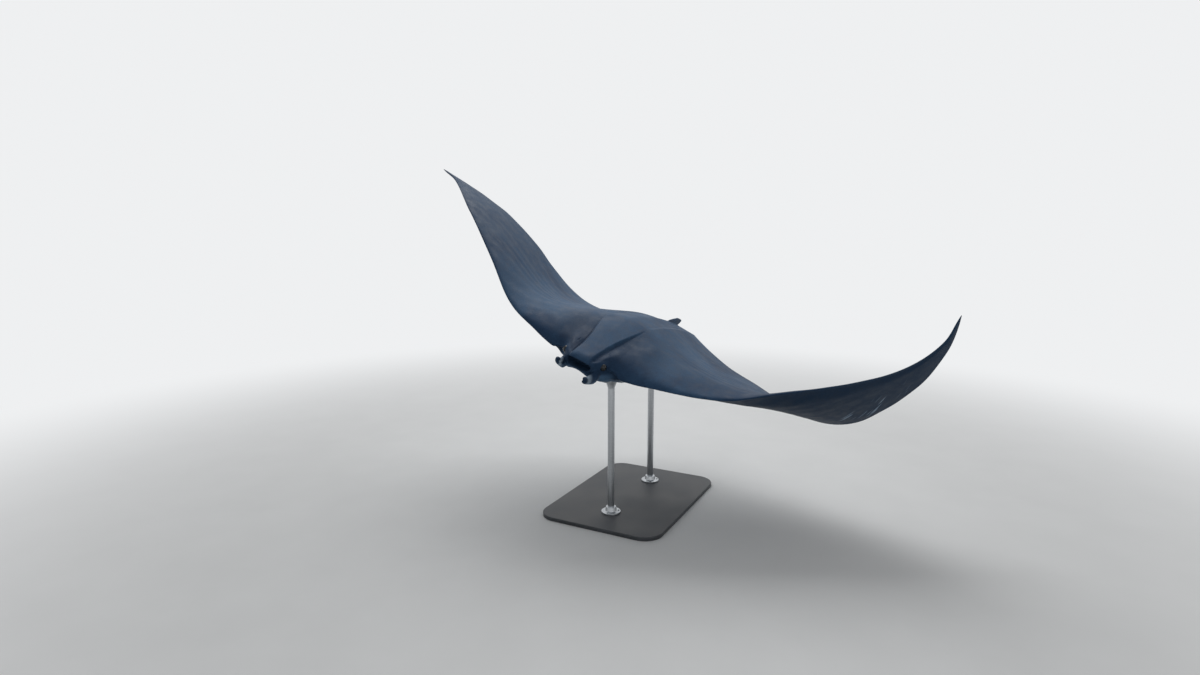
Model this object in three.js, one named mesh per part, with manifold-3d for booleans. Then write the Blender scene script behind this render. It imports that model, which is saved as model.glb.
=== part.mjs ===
// A life-size manta ray, swimming with both wings raised, carried by a plain display stand.
//
// Units are millimetres and +Z is up. The ray swims toward -Y, so its left wing is on +X.
// The origin is at the middle of the underside of the stand's base.
//
// The body is described twice. First it lies flat: x runs forward from the front of the head,
// and a "span fraction" runs from 0 on the midline to 1 at a wing tip. Then each wing is bent
// along a spar line, so that it rises, twists and sweeps as a swimming ray's wing does.

import * as THREE from 'three';
import { mergeVertices } from 'three/addons/utils/BufferGeometryUtils.js';
import Module from 'manifold-3d';

const wasm = await Module();
wasm.setup();

// ---- Driving dimensions of the flat ray ----

const DISC_LENGTH = 1540;      // front of the head to the rear edge of the disc
const HALF_SPAN = 1855;        // midline to a wing tip, measured along the wing
const HEAD_HALF = 0.07;        // half width of the head, as a span fraction
const BEND_START = 0.08;       // span fraction where a wing starts to bend
const WING_ROOT = 0.15;        // span fraction where the trunk ends and a wing starts
const WING_MIDDLE = 0.54;      // span fraction between a wing's inner and outer lengths
const WING_END = 0.994;        // span fraction of the small flat at a wing tip
const SPAR_BACK = 550;         // the spar runs this far behind the front of the head
const NECK_BACK = 270;         // the head ends this far behind its front
const WING_THICKNESS = 150;    // wing thickness if it ran on to the midline
const TRUNK_THICKNESS = 200;   // extra thickness of the trunk on the midline
const TRUNK_SPREAD = 0.2;      // span fraction over which that extra thickness fades
const EDGE_THICKNESS = 6;      // thickness of the rear edge of the disc
const TIP_HOOK = 0.04;         // near a tip the front edge is this share of the length farther back
const BACK_SHARE = 0.55;       // share of the thickness that lies above the middle surface
const NOSE_LIFT = 24;          // a wing's front edge rises this far where it meets the head
const NOSE_DROOP = 28;         // and dips this far a little farther out
const NOSE_BELOW = 0.68;       // share by which the underside is thinner behind that edge
const CHIN = 0.35;             // share by which the lower jaw is shallower on the midline
const JOWL = 0.34;             // share by which it is deeper below the corners of the head
const SEAM = 0.3;              // gap between neighbouring pieces

// ---- Pose: degrees at five equal steps from BEND_START to the wing tip ----

const LEFT_WING = { rise: [5, 12, 43, 58, 90], twist: [6, 12, 29, 29, 26], sweep: 6, sweepMore: -21 };
const RIGHT_WING = { rise: [7, 33, 30, 20, 17], twist: [7, 10, 8, 6, 7], sweep: -8, sweepMore: -8 };
const BANK = 20;               // roll of the body toward its left, degrees

// ---- Stand ----

const BODY_HEIGHT = 1050;      // height of the midline's middle surface above the floor
const BASE_LENGTH = 1100;
const BASE_WIDTH = 800;
const BASE_THICKNESS = 24;
const BASE_CORNER = 120;
const BASE_BEVEL = 4;
const ROD_RADIUS = 21;
const ROD_STATIONS = [430, 1040];   // distances of the rods behind the front of the head
const BODY_CENTRE_BACK = 735;       // this point of the midline stands over the origin

// ---- Small parts ----

const EYE_RADIUS = 21;
const EYE_PLACE = { station: 0.945 * HEAD_HALF, back: 86, height: 14 };
const HORN_LENGTH = 155;       // rolled cephalic fin, from inside the head to its end
const HORN_ROOT = 102;         // distance of its root from the midline
const HORN_DROP = 42;          // its root lies this far below the middle surface
const HORN_SAG = 15;           // its middle sags this far below its two ends
const HORN_HEIGHTS = [90, 86, 72, 57, 46, 42, 37];
const HORN_WIDTHS = [48, 46, 39, 34, 32, 34, 30];
const HORN_LIFT = { left: 1, right: 15 };   // degrees above straight ahead
const HORN_TOE_IN = { left: 0, right: 7 };  // degrees toward the midline
const MOUTH = { halfWidth: 74, halfHeight: 21, depth: 80, drop: 7 };
const TAIL_LENGTH = 1150;
const TAIL_START = 1440;       // distance of the tail's root behind the front of the head
const TAIL_RADIUS = 24;
const TAIL_END_RADIUS = 4;
const TAIL_DROOP = [15, 46];   // degrees below level, at the root and at the end
const TAIL_SWAY = [0, 12];     // degrees toward the left, at the root and at the end
const DORSAL_FIN = { front: 1220, base: 80, chord: 325, height: 58, lean: 0.72, slope: 13.5 };
const DORSAL_FIN_TIP = 0.5;    // share of the chord that is left at the top
const DORSAL_FIN_THICKNESS = 20;
const PELVIC_FIN = { front: 1430, length: 205, width: 78, spread: 92, splay: 14, droop: 36 };
const PELVIC_FIN_TIP = 0.6;    // share of the width that is left at the rear end
const PELVIC_FIN_THICKNESS = 18;
const CUP_RADIUS = 46;         // the cup on top of each rod
const COLLAR = { radius: 60, flange: 9, neck: 34, height: 37, slope: 5, taper: 3 };

const radians = THREE.MathUtils.degToRad;
const { clamp, lerp, smoothstep } = THREE.MathUtils;

// ---- Flat outline and thickness ----

// Smooth curve through equally spaced values, with t from 0 to 1.
function curveThrough(values, t) {
  const last = values.length - 1;
  const place = clamp(t, 0, 1) * last;
  const i = Math.min(Math.floor(place), last - 1);
  const f = place - i;
  const before = i > 0 ? values[i - 1] : 2 * values[0] - values[1];
  const after = i + 2 <= last ? values[i + 2] : 2 * values[last] - values[last - 1];
  const here = values[i];
  const next = values[i + 1];
  const square = 2 * before - 5 * here + 4 * next - after;
  const cube = 3 * here - before - 3 * next + after;
  return 0.5 * (2 * here + (next - before) * f + square * f ** 2 + cube * f ** 3);
}

function bell(x, center, width) {
  return Math.exp(-(((x - center) / width) ** 2));
}

// Front edge of the disc: a nearly straight head, a step back at its corners, then the wing.
function frontEdge(span) {
  const t = clamp((span - HEAD_HALF) / (1 - HEAD_HALF), 0, 1);
  const hook = TIP_HOOK * smoothstep(span, 0.76, 0.94) * (1 - smoothstep(span, 0.94, 1));
  const wing = -0.075 - 0.07 * t - 0.515 * t ** 2.4 - hook;
  const head = -0.02 * (span / HEAD_HALF) ** 2;
  const share = smoothstep(span, 0.9 * HEAD_HALF, 1.12 * HEAD_HALF);
  return DISC_LENGTH * lerp(head, wing, share);
}

// Rear edge of the disc.
function rearEdge(span) {
  return DISC_LENGTH * (-1 + 0.34 * (1 - (1 - span) ** 1.2));
}

// Greatest thickness of the fore-and-aft section at a span fraction.
function thicknessAt(span) {
  return WING_THICKNESS * (1 - span) + TRUNK_THICKNESS * Math.exp(-((span / TRUNK_SPREAD) ** 2));
}

// Rounded-front wing section, 1 high at its thickest point, with v from 0 (front) to 1 (rear).
function sectionHeight(v) {
  return 2.969 * Math.sqrt(v) - 1.26 * v - 3.516 * v ** 2 + 2.843 * v ** 3 - 1.015 * v ** 4;
}

// Section near the midline: low and blunt at the lips, rising to the shoulders, then as the
// wing section. back is the distance behind the head's front, as a share of the disc's length.
const UPPER_LIP = 0.27;        // height of the blunt upper lip, as a share of the shoulders'
const LOWER_LIP = 0.48;        // the same below, where the jaw hangs deeper
const SHOULDER = 0.36;         // where the midline is highest, as a share of the disc's length

function midlineHeight(back, v, lip) {
  const blunt = clamp(v / 0.035, 0, 1);
  const round = Math.sqrt(blunt * (2 - blunt));
  const nape = lip + (1 - lip) * smoothstep(back, 0, SHOULDER);
  const rear = sectionHeight(Math.max(v, SHOULDER)) / sectionHeight(SHOULDER);
  return round * nape * rear;
}

// Rise of the middle surface toward a wing's front edge: up beside the head, down farther out.
const NOSE_REACH = 0.22;       // share of the section's length over which this fades

function noseRise(span, v) {
  const near = smoothstep(span, 0.03, 0.065) * (1 - smoothstep(span, 0.07, 0.1));
  const out = smoothstep(span, 0.074, 0.135) * (1 - smoothstep(span, 0.28, 0.55));
  return (NOSE_LIFT * near - NOSE_DROOP * out) * (1 - smoothstep(v, 0, NOSE_REACH));
}

// Height of the skin above (side 1) or below (side -1) the middle surface. Below, the jaw is
// shallow on the midline and deep under its corners, and the wing's nose is thin.
function skinHeight(span, v, side) {
  const share = side > 0 ? BACK_SHARE : 1 - BACK_SHARE;
  const below = side > 0 ? 0 : 1;
  const edge = 0.5 * EDGE_THICKNESS * smoothstep(v, 0, 0.2);
  const wingness = smoothstep(span, 0.8 * HEAD_HALF, 2.2 * HEAD_HALF);
  const back = -lerp(frontEdge(span), rearEdge(span), v) / DISC_LENGTH;
  const chin = CHIN * below * bell(span, 0, 0.04) * (1 - smoothstep(back, 0.03, 0.16));
  const jowl = JOWL * below * bell(span, 0.06, 0.02) * (1 - smoothstep(back, 0.08, 0.2));
  const nose = smoothstep(span, 0.07, 0.125) * (1 - smoothstep(v, 0, NOSE_REACH));
  const midline = midlineHeight(back, v, side > 0 ? UPPER_LIP : LOWER_LIP) * (1 - chin);
  const plain = lerp(midline, sectionHeight(v), wingness);
  const section = plain * (1 + jowl) * (1 - NOSE_BELOW * below * nose);
  return side * (share * thicknessAt(span) * section + edge);
}

// ---- Bending the flat ray ----

const SPAR_STEPS = 200;

// Frames along one wing's spar: where it is, and its outward, forward and upward directions.
function sparFrames(wing, side) {
  const frames = [];
  const origin = new THREE.Vector3(0, SPAR_BACK, 0);
  let earlier = null;
  for (let step = 0; step <= SPAR_STEPS; step++) {
    const t = clamp((step / SPAR_STEPS - BEND_START) / (1 - BEND_START), 0, 1);
    const rise = radians(curveThrough([0, ...wing.rise], t));
    const twist = radians(curveThrough([0, ...wing.twist], t));
    const sweep = radians(wing.sweep * t + wing.sweepMore * t * t);
    const outward = new THREE.Vector3(
      side * Math.cos(sweep) * Math.cos(rise), Math.sin(sweep), Math.cos(sweep) * Math.sin(rise));
    const level = new THREE.Vector3(
      side * Math.sin(sweep) * Math.cos(rise), -Math.cos(sweep), Math.sin(sweep) * Math.sin(rise));
    const normal = new THREE.Vector3().crossVectors(outward, level).multiplyScalar(-side);
    const forward = level.clone().multiplyScalar(Math.cos(twist));
    forward.addScaledVector(normal, Math.sin(twist));
    const up = new THREE.Vector3().crossVectors(outward, forward).multiplyScalar(-side);
    if (earlier) {
      const middle = outward.clone().add(earlier).multiplyScalar(0.5);
      origin.addScaledVector(middle, HALF_SPAN / SPAR_STEPS);
    }
    earlier = outward;
    frames.push({ origin: origin.clone(), outward, forward, up });
  }
  return frames;
}

const SPARS = { left: sparFrames(LEFT_WING, 1), right: sparFrames(RIGHT_WING, -1) };

// A point of the bent ray. station is the signed span fraction, positive on the left.
function bodyPoint(station, x, height) {
  const frames = station < 0 ? SPARS.right : SPARS.left;
  const place = Math.abs(station) * SPAR_STEPS;
  const i = Math.min(Math.floor(place), SPAR_STEPS - 1);
  const f = place - i;
  const mix = (name) => frames[i][name].clone().lerp(frames[i + 1][name], f);
  const point = mix('origin');
  point.addScaledVector(mix('forward').normalize(), x + SPAR_BACK);
  point.addScaledVector(mix('up').normalize(), height);
  return point;
}

// ---- Solids ----

// One closed solid through a row of rings of points, with a flat cap at each end.
function loft(rings) {
  const count = rings[0].length;
  const positions = rings.flat().flatMap((point) => [point.x, point.y, point.z]);
  const index = [];
  for (let r = 0; r + 1 < rings.length; r++) {
    for (let i = 0; i < count; i++) {
      const a = r * count + i;
      const b = r * count + (i + 1) % count;
      index.push(a, b, a + count, b, b + count, a + count);
    }
  }
  index.push(...capTriangles(rings[0], 0, true));
  index.push(...capTriangles(rings.at(-1), (rings.length - 1) * count, false));
  const geometry = new THREE.BufferGeometry();
  geometry.setAttribute('position', new THREE.Float32BufferAttribute(positions, 3));
  geometry.setIndex(signedVolume(positions, index) < 0 ? flipped(index) : index);
  return geometry;
}

// Triangles that fill a flat ring. The loft's own sides wind the same way round as the ring.
function capTriangles(ring, start, first) {
  const normal = new THREE.Vector3();
  ring.forEach((point, i) => {
    const next = ring[(i + 1) % ring.length];
    normal.add(new THREE.Vector3().crossVectors(point, next));
  });
  normal.normalize();
  const across = new THREE.Vector3().subVectors(ring[1], ring[0]);
  across.addScaledVector(normal, -across.dot(normal)).normalize();
  const along = new THREE.Vector3().crossVectors(normal, across);
  const flat = ring.map((point) => new THREE.Vector2(point.dot(across), point.dot(along)));
  const triangles = THREE.ShapeUtils.triangulateShape(flat, []);
  return triangles.flatMap(([a, b, c]) => {
    const area = flat[b].clone().sub(flat[a]).cross(flat[c].clone().sub(flat[a]));
    const turn = area > 0 === first ? [a, c, b] : [a, b, c];
    return turn.map((corner) => corner + start);
  });
}

function flipped(index) {
  return index.map((_, i) => index[i % 3 === 0 ? i : i % 3 === 1 ? i + 1 : i - 1]);
}

function signedVolume(positions, index) {
  const corner = (i) => new THREE.Vector3().fromArray(positions, 3 * index[i]);
  let total = 0;
  for (let i = 0; i < index.length; i += 3) {
    total += corner(i).dot(corner(i + 1).cross(corner(i + 2)));
  }
  return total;
}

function toSolid(geometry) {
  const bare = geometry.clone();
  bare.deleteAttribute('normal');
  bare.deleteAttribute('uv');
  const merged = mergeVertices(bare, 1e-3);
  return new wasm.Manifold(new wasm.Mesh({
    numProp: 3,
    vertProperties: new Float32Array(merged.attributes.position.array),
    triVerts: new Uint32Array(merged.index.array),
  }));
}

function toGeometry(solid) {
  const mesh = solid.getMesh();
  const geometry = new THREE.BufferGeometry();
  geometry.setAttribute('position', new THREE.Float32BufferAttribute(mesh.vertProperties, 3));
  geometry.setIndex(new THREE.Uint32BufferAttribute(mesh.triVerts, 1));
  return geometry;
}

// Fore-and-aft section of the disc at one station, grown outward by an allowance.
const SECTION_STEPS = 15;
const ALLOWANCE_FADE = 4;      // the allowance is full from a quarter of the way back

function sectionRing(station, allowance = 0) {
  const span = Math.abs(station);
  const front = frontEdge(span) + allowance;
  const rear = rearEdge(span) - allowance;
  const ring = [];
  for (let i = -SECTION_STEPS; i <= SECTION_STEPS; i++) {
    const v = (Math.abs(i) / SECTION_STEPS) ** 1.8;
    const side = i < 0 ? 1 : -1;
    const grown = side * allowance * Math.min(1, ALLOWANCE_FADE * v);
    const height = i === 0 ? 0 : skinHeight(span, v, side) + grown;
    ring.push(bodyPoint(station, lerp(front, rear, v), noseRise(span, v) + height));
  }
  return ring;
}

function stationsBetween(from, to, steps) {
  return Array.from({ length: steps + 1 }, (_, i) => lerp(from, to, i / steps));
}

// Stations from one wing root to the other, closer together at the corners of the head.
function trunkStations() {
  const corner = [0.8, 0.92, 1, 1.08, 1.2, 1.5].map((part) => part * HEAD_HALF);
  const half = [0.25 * HEAD_HALF, 0.55 * HEAD_HALF, ...corner];
  const seam = 0.5 * SEAM / HALF_SPAN;
  const side = [...half, WING_ROOT - seam];
  return [...side.map((span) => -span).reverse(), 0, ...side];
}

function wingGeometry(side, from, to, steps) {
  return loft(stationsBetween(from, to, steps).map((span) => sectionRing(side * span)));
}

// ---- The ray, in its own frame: midline at x = 0, middle surface at z = 0 ----

const stance = new THREE.Matrix4()
  .makeTranslation(0, -BODY_CENTRE_BACK, BODY_HEIGHT)
  .multiply(new THREE.Matrix4().makeRotationY(radians(BANK)));

const SIDES = { left: 1, right: -1 };

function trunkLoft(allowance = 0) {
  return loft(trunkStations().map((station) => sectionRing(station, allowance)));
}

// A box that covers the ray from one distance behind the head's front to another.
const BOX_WIDTH = 2000;
const BEFORE_HEAD = -500;
const BEHIND_TAIL = 2500;

function lengthwiseBox(from, to) {
  const box = new THREE.BoxGeometry(BOX_WIDTH, to - from, BOX_WIDTH);
  return box.translate(0, 0.5 * (from + to), 0);
}

const BALL_SIDES = 14;
const BALL_RINGS = 10;

function ball(radius, center, stretch = [1, 1, 1]) {
  const sphere = new THREE.SphereGeometry(radius, BALL_SIDES, BALL_RINGS);
  return sphere.scale(...stretch).translate(...center);
}

function eyeCenter(side) {
  const { station, back, height } = EYE_PLACE;
  return bodyPoint(side * station, -back, height).toArray();
}

function mouthHollow() {
  const { halfWidth, halfHeight, depth, drop } = MOUTH;
  const stretch = [halfWidth / depth, 1, halfHeight / depth];
  return ball(depth, [0, 0, -drop], stretch);
}

// Centre line of a cephalic fin: from inside the head, out past its front corner, then ahead.
const HORN_START = 80;         // its root lies this far behind the front of the head

function hornLine(name) {
  const side = SIDES[name];
  const toe = radians(HORN_TOE_IN[name]);
  const lift = radians(HORN_LIFT[name]);
  const ahead = new THREE.Vector3(-side * Math.sin(toe), -Math.cos(toe), Math.tan(lift));
  const root = new THREE.Vector3(side * HORN_ROOT, HORN_START, -HORN_DROP);
  const points = [0, 0.3, 0.65, 1].map((part) => {
    const point = root.clone().addScaledVector(ahead, part * HORN_LENGTH);
    point.z -= HORN_SAG * Math.sin(Math.PI * part);
    return point;
  });
  return new THREE.CatmullRomCurve3(points);
}

// Rolled cephalic fin: a tall oval with a deep groove down its inner side and a round end.
const HORN_GROOVE = { depth: 0.42, width: 0.55 };
const HORN_END = { length: 0.14, smallest: 0.12 };

function hornGeometry(name) {
  const line = hornLine(name);
  const ringCount = 12;
  const pointCount = 14;
  const rings = [];
  for (let r = 0; r <= ringCount; r++) {
    const t = 1 - (1 - r / ringCount) ** 1.5;
    const beyond = clamp((t - 1 + HORN_END.length) / HORN_END.length, 0, 1);
    const size = Math.max(Math.sqrt(1 - beyond ** 2), HORN_END.smallest);
    const tall = 0.5 * size * curveThrough(HORN_HEIGHTS, t);
    const wide = 0.5 * size * curveThrough(HORN_WIDTHS, t);
    const center = line.getPoint(t);
    const ring = [];
    for (let i = 0; i < pointCount; i++) {
      const angle = 2 * Math.PI * i / pointCount;
      const groove = 1 - HORN_GROOVE.depth * bell(angle, Math.PI, HORN_GROOVE.width);
      const out = SIDES[name] * wide * groove * Math.cos(angle);
      const up = tall * Math.sin(angle) * groove ** 0.3;
      ring.push(center.clone().add(new THREE.Vector3(out, 0, up)));
    }
    rings.push(ring);
  }
  return loft(rings);
}

// A thin fin: sections stacked from root to tip, with a rounded end.
// place(s) gives the front of the section at fraction s of the way out.
const BLADE_STEPS = 9;
const BLADE_PROFILE = [1, 0.72, 0.42, 0.18, 0.05, 0];   // shares of the chord, rear to front
const BLADE_TIP_THINNING = 0.6;
const BLADE_REAR_EDGE = 0.16;   // thickness of the rear edge, as a share of the thickest part

function bladeGeometry(place, chordAt, chordAxis, thickAxis, thickness) {
  const rings = [];
  for (let r = 0; r <= BLADE_STEPS; r++) {
    const s = r / BLADE_STEPS;
    const front = place(s);
    const chord = chordAt(s);
    const half = 0.5 * thickness * (1 - BLADE_TIP_THINNING * s);
    const point = (v, side) => {
      const height = half * Math.max(sectionHeight(v), v > 0 ? BLADE_REAR_EDGE : 0);
      const back = front.clone().addScaledVector(chordAxis, v * chord);
      return back.addScaledVector(thickAxis, side * height);
    };
    const upper = BLADE_PROFILE.map((v) => point(v, 1));
    const lower = BLADE_PROFILE.slice(0, -1).reverse().map((v) => point(v, -1));
    rings.push([...upper, ...lower]);
  }
  return loft(rings);
}

// How a fin's width closes over its last part, into a rounded tip.
function roundEnd(s) {
  return Math.sqrt(Math.max(0.02, 1 - s ** 8));
}

// A low, long fin that rises along the sloping back and ends in a steep rear edge.
function dorsalFinGeometry() {
  const { front, base, chord, height, lean, slope } = DORSAL_FIN;
  const along = new THREE.Vector3(0, Math.cos(radians(slope)), -Math.sin(radians(slope)));
  const place = (s) => {
    const root = new THREE.Vector3(0, front, base + height * s);
    return root.addScaledVector(along, lean * chord * s ** 1.5);
  };
  const chordAt = (s) => chord * lerp(1, DORSAL_FIN_TIP, s) * roundEnd(s);
  return bladeGeometry(place, chordAt, along, new THREE.Vector3(1, 0, 0), DORSAL_FIN_THICKNESS);
}

// A small paddle beside the tail, rounded from both sides, that droops toward its end.
function pelvicFinGeometry(side) {
  const { front, length, width, spread, splay, droop } = PELVIC_FIN;
  const fullAt = (s) => width * lerp(1, PELVIC_FIN_TIP, s);
  const place = (s) => {
    const inner = spread - 0.5 * width + splay * s + 0.5 * fullAt(s) * (1 - roundEnd(s));
    return new THREE.Vector3(side * inner, front + length * s, -6 - droop * s ** 1.5);
  };
  const chordAt = (s) => fullAt(s) * roundEnd(s);
  const across = new THREE.Vector3(side, 0, 0);
  return bladeGeometry(place, chordAt, across, new THREE.Vector3(0, 0, 1), PELVIC_FIN_THICKNESS);
}

// Rings of the tail, from its root inside the trunk to its end.
const TAIL_STEPS = 30;
const TAIL_SIDES = 10;
const TAIL_FLATNESS = 0.85;    // its height as a share of its width
const TAIL_RISE = 2;           // its root's centre above the middle surface

function tailRings(allowance = 0) {
  const center = new THREE.Vector3(0, TAIL_START, TAIL_RISE);
  const rings = [];
  for (let r = 0; r <= TAIL_STEPS; r++) {
    const t = r / TAIL_STEPS;
    const droop = radians(lerp(...TAIL_DROOP, smoothstep(t, 0, 1)));
    const sway = radians(lerp(...TAIL_SWAY, t));
    const along = new THREE.Vector3(
      Math.sin(sway) * Math.cos(droop), Math.cos(sway) * Math.cos(droop), -Math.sin(droop));
    const across = new THREE.Vector3(Math.cos(sway), -Math.sin(sway), 0);
    const tall = new THREE.Vector3().crossVectors(across, along);
    const radius = lerp(TAIL_RADIUS, TAIL_END_RADIUS, 1 - (1 - t) ** 1.6) + allowance;
    const ring = [];
    for (let i = 0; i < TAIL_SIDES; i++) {
      const angle = 2 * Math.PI * i / TAIL_SIDES;
      const point = center.clone().addScaledVector(across, radius * Math.cos(angle));
      ring.push(point.addScaledVector(tall, TAIL_FLATNESS * radius * Math.sin(angle)));
    }
    rings.push(ring);
    center.addScaledVector(along, TAIL_LENGTH / TAIL_STEPS);
  }
  return rings;
}

// The tail in lengths: each list of rings stops a seam short of where the next one starts.
function tailLengths(cuts) {
  const rings = tailRings();
  return cuts.slice(0, -1).map((from, piece) => {
    const part = rings.slice(from, cuts[piece + 1] + 1).map((ring) => ring.map((p) => p.clone()));
    if (piece > 0) {
      const step = TAIL_LENGTH / (rings.length - 1);
      part[0] = part[0].map((point, i) => point.lerp(part[1][i], SEAM / step));
    }
    return loft(part);
  });
}

// ---- Pieces of the model ----

const model = new THREE.Group();

const finishes = {
  back: new THREE.MeshStandardMaterial({ color: 0x28323d, roughness: 0.42, metalness: 0 }),
  cephalic: new THREE.MeshStandardMaterial({ color: 0x8fa0ad, roughness: 0.45, metalness: 0 }),
  eye: new THREE.MeshStandardMaterial({ color: 0x0b0c0f, roughness: 0.08, metalness: 0 }),
  paint: new THREE.MeshStandardMaterial({ color: 0x33363a, roughness: 0.55, metalness: 0 }),
  steel: new THREE.MeshStandardMaterial({ color: 0xb9bcc0, roughness: 0.32, metalness: 1 }),
};

function addPiece(name, geometry, finish) {
  const mesh = new THREE.Mesh(geometry, finish);
  mesh.name = name;
  model.add(mesh);
}

const posed = (geometry) => toSolid(geometry.applyMatrix4(stance));

const disc = posed(trunkLoft());
const discGrown = posed(trunkLoft(SEAM));
const headHalf = disc.intersect(posed(lengthwiseBox(BEFORE_HEAD, NECK_BACK - 0.5 * SEAM)));
const trunk = disc.intersect(posed(lengthwiseBox(NECK_BACK + 0.5 * SEAM, BEHIND_TAIL)));

const head = Object.values(SIDES).reduce(
  (solid, side) => solid.subtract(posed(ball(EYE_RADIUS + SEAM, eyeCenter(side)))),
  headHalf.subtract(posed(mouthHollow())));
addPiece('head', toGeometry(head), finishes.back);
addPiece('trunk', toGeometry(trunk), finishes.back);

for (const [name, side] of Object.entries(SIDES)) {
  const seam = 0.5 * SEAM / HALF_SPAN;
  const inner = wingGeometry(side, WING_ROOT + seam, WING_MIDDLE - seam, 9);
  const outer = wingGeometry(side, WING_MIDDLE + seam, WING_END, 12);
  addPiece(`wing_${name}_inner`, inner.applyMatrix4(stance), finishes.back);
  addPiece(`wing_${name}_outer`, outer.applyMatrix4(stance), finishes.back);
  addPiece(`eye_${name}`, ball(EYE_RADIUS, eyeCenter(side)).applyMatrix4(stance), finishes.eye);
  const horn = posed(hornGeometry(name)).subtract(discGrown);
  addPiece(`cephalic_fin_${name}`, toGeometry(horn), finishes.cephalic);
}

const [tailBase, tailMiddle, tailTip] = tailLengths([0, 9, 19, TAIL_STEPS]);
const tailRoot = posed(tailBase);
addPiece('tail_base', toGeometry(tailRoot.subtract(discGrown)), finishes.back);
addPiece('tail_middle', tailMiddle.applyMatrix4(stance), finishes.back);
addPiece('tail_tip', tailTip.applyMatrix4(stance), finishes.back);

const discAndTailGrown = discGrown.add(posed(loft(tailRings(SEAM))));
const dorsalFin = posed(dorsalFinGeometry()).subtract(discAndTailGrown);
addPiece('dorsal_fin', toGeometry(dorsalFin), finishes.back);
for (const [name, side] of Object.entries(SIDES)) {
  const fin = posed(pelvicFinGeometry(side)).subtract(discAndTailGrown);
  addPiece(`pelvic_fin_${name}`, toGeometry(fin), finishes.back);
}

// ---- Display stand ----

function baseGeometry() {
  const x = 0.5 * BASE_WIDTH;
  const y = 0.5 * BASE_LENGTH;
  const r = BASE_CORNER;
  const outline = new THREE.Shape();
  outline.absarc(x - r, y - r, r, 0, 0.5 * Math.PI);
  outline.absarc(r - x, y - r, r, 0.5 * Math.PI, Math.PI);
  outline.absarc(r - x, r - y, r, Math.PI, 1.5 * Math.PI);
  outline.absarc(x - r, r - y, r, 1.5 * Math.PI, 2 * Math.PI);
  const bevel = BASE_BEVEL;
  const plate = new THREE.ExtrudeGeometry(outline, {
    depth: BASE_THICKNESS - 2 * bevel,
    bevelThickness: bevel,
    bevelSize: bevel,
    bevelOffset: -bevel,
    bevelSegments: 1,
    curveSegments: 6,
  });
  return plate.translate(0, 0, bevel);
}

// A turned piece: pairs of [radius, height] from the axis out and back to it.
function turned(profile, x, y) {
  const points = profile.map(([radius, height]) => new THREE.Vector2(radius, height));
  const piece = new THREE.LatheGeometry(points, 18);
  return piece.rotateX(0.5 * Math.PI).translate(x, y, 0);
}

// Steel rod with a cup at its top, cut to fit under the belly.
// Heights are measured from the skin of the belly over the rod's axis.
const CUP_HEIGHTS = { start: 80, throat: 60, rim: 22, above: 20 };
const CUP_FLARE = 6;

function rodSolid(back) {
  const inside = new THREE.Vector3(0, back, 0).applyMatrix4(stance);
  const belly = inside.z + skinHeight(0, back / DISC_LENGTH, -1);
  const foot = BASE_THICKNESS + SEAM;
  const { start, throat, rim, above } = CUP_HEIGHTS;
  const rod = turned([
    [0, foot],
    [ROD_RADIUS, foot],
    [ROD_RADIUS, belly - start],
    [ROD_RADIUS + CUP_FLARE, belly - throat],
    [CUP_RADIUS, belly - rim],
    [CUP_RADIUS, belly + above],
    [0, belly + above],
  ], inside.x, inside.y);
  return toSolid(rod).subtract(discGrown);
}

function collarGeometry(back) {
  const place = new THREE.Vector3(0, back, 0).applyMatrix4(stance);
  const foot = BASE_THICKNESS + SEAM;
  const bore = ROD_RADIUS + SEAM;
  const { radius, flange, neck, height, slope, taper } = COLLAR;
  const disk = [[bore, foot], [radius, foot], [radius, foot + flange]];
  const sleeve = [[neck, foot + flange + slope], [neck - taper, foot + height]];
  const outline = [...disk, ...sleeve, [bore, foot + height], [bore, foot]];
  return turned(outline, place.x, place.y);
}

addPiece('stand_base', baseGeometry(), finishes.paint);
['front', 'rear'].forEach((name, i) => {
  addPiece(`stand_rod_${name}`, toGeometry(rodSolid(ROD_STATIONS[i])), finishes.steel);
  addPiece(`stand_collar_${name}`, collarGeometry(ROD_STATIONS[i]), finishes.steel);
});

export default model;
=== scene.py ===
# %% [markdown]
# # A life-size manta ray on a display stand
# This lesson builds the looks of a museum model: a reef manta ray, nearly 3.7 m across its
# flat wings, swimming with both wings raised. A packed construction model already fixes every
# place and size, so the first step loads it as a frame, and each piece made here takes the
# place of some of its plain solids. Everything is in metres, +Z is up, and the ray swims
# toward -Y with its left wing on +X.

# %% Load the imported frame
from functools import partial

import bpy
import numpy as np
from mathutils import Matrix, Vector
from mathutils.kdtree import KDTree


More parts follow.
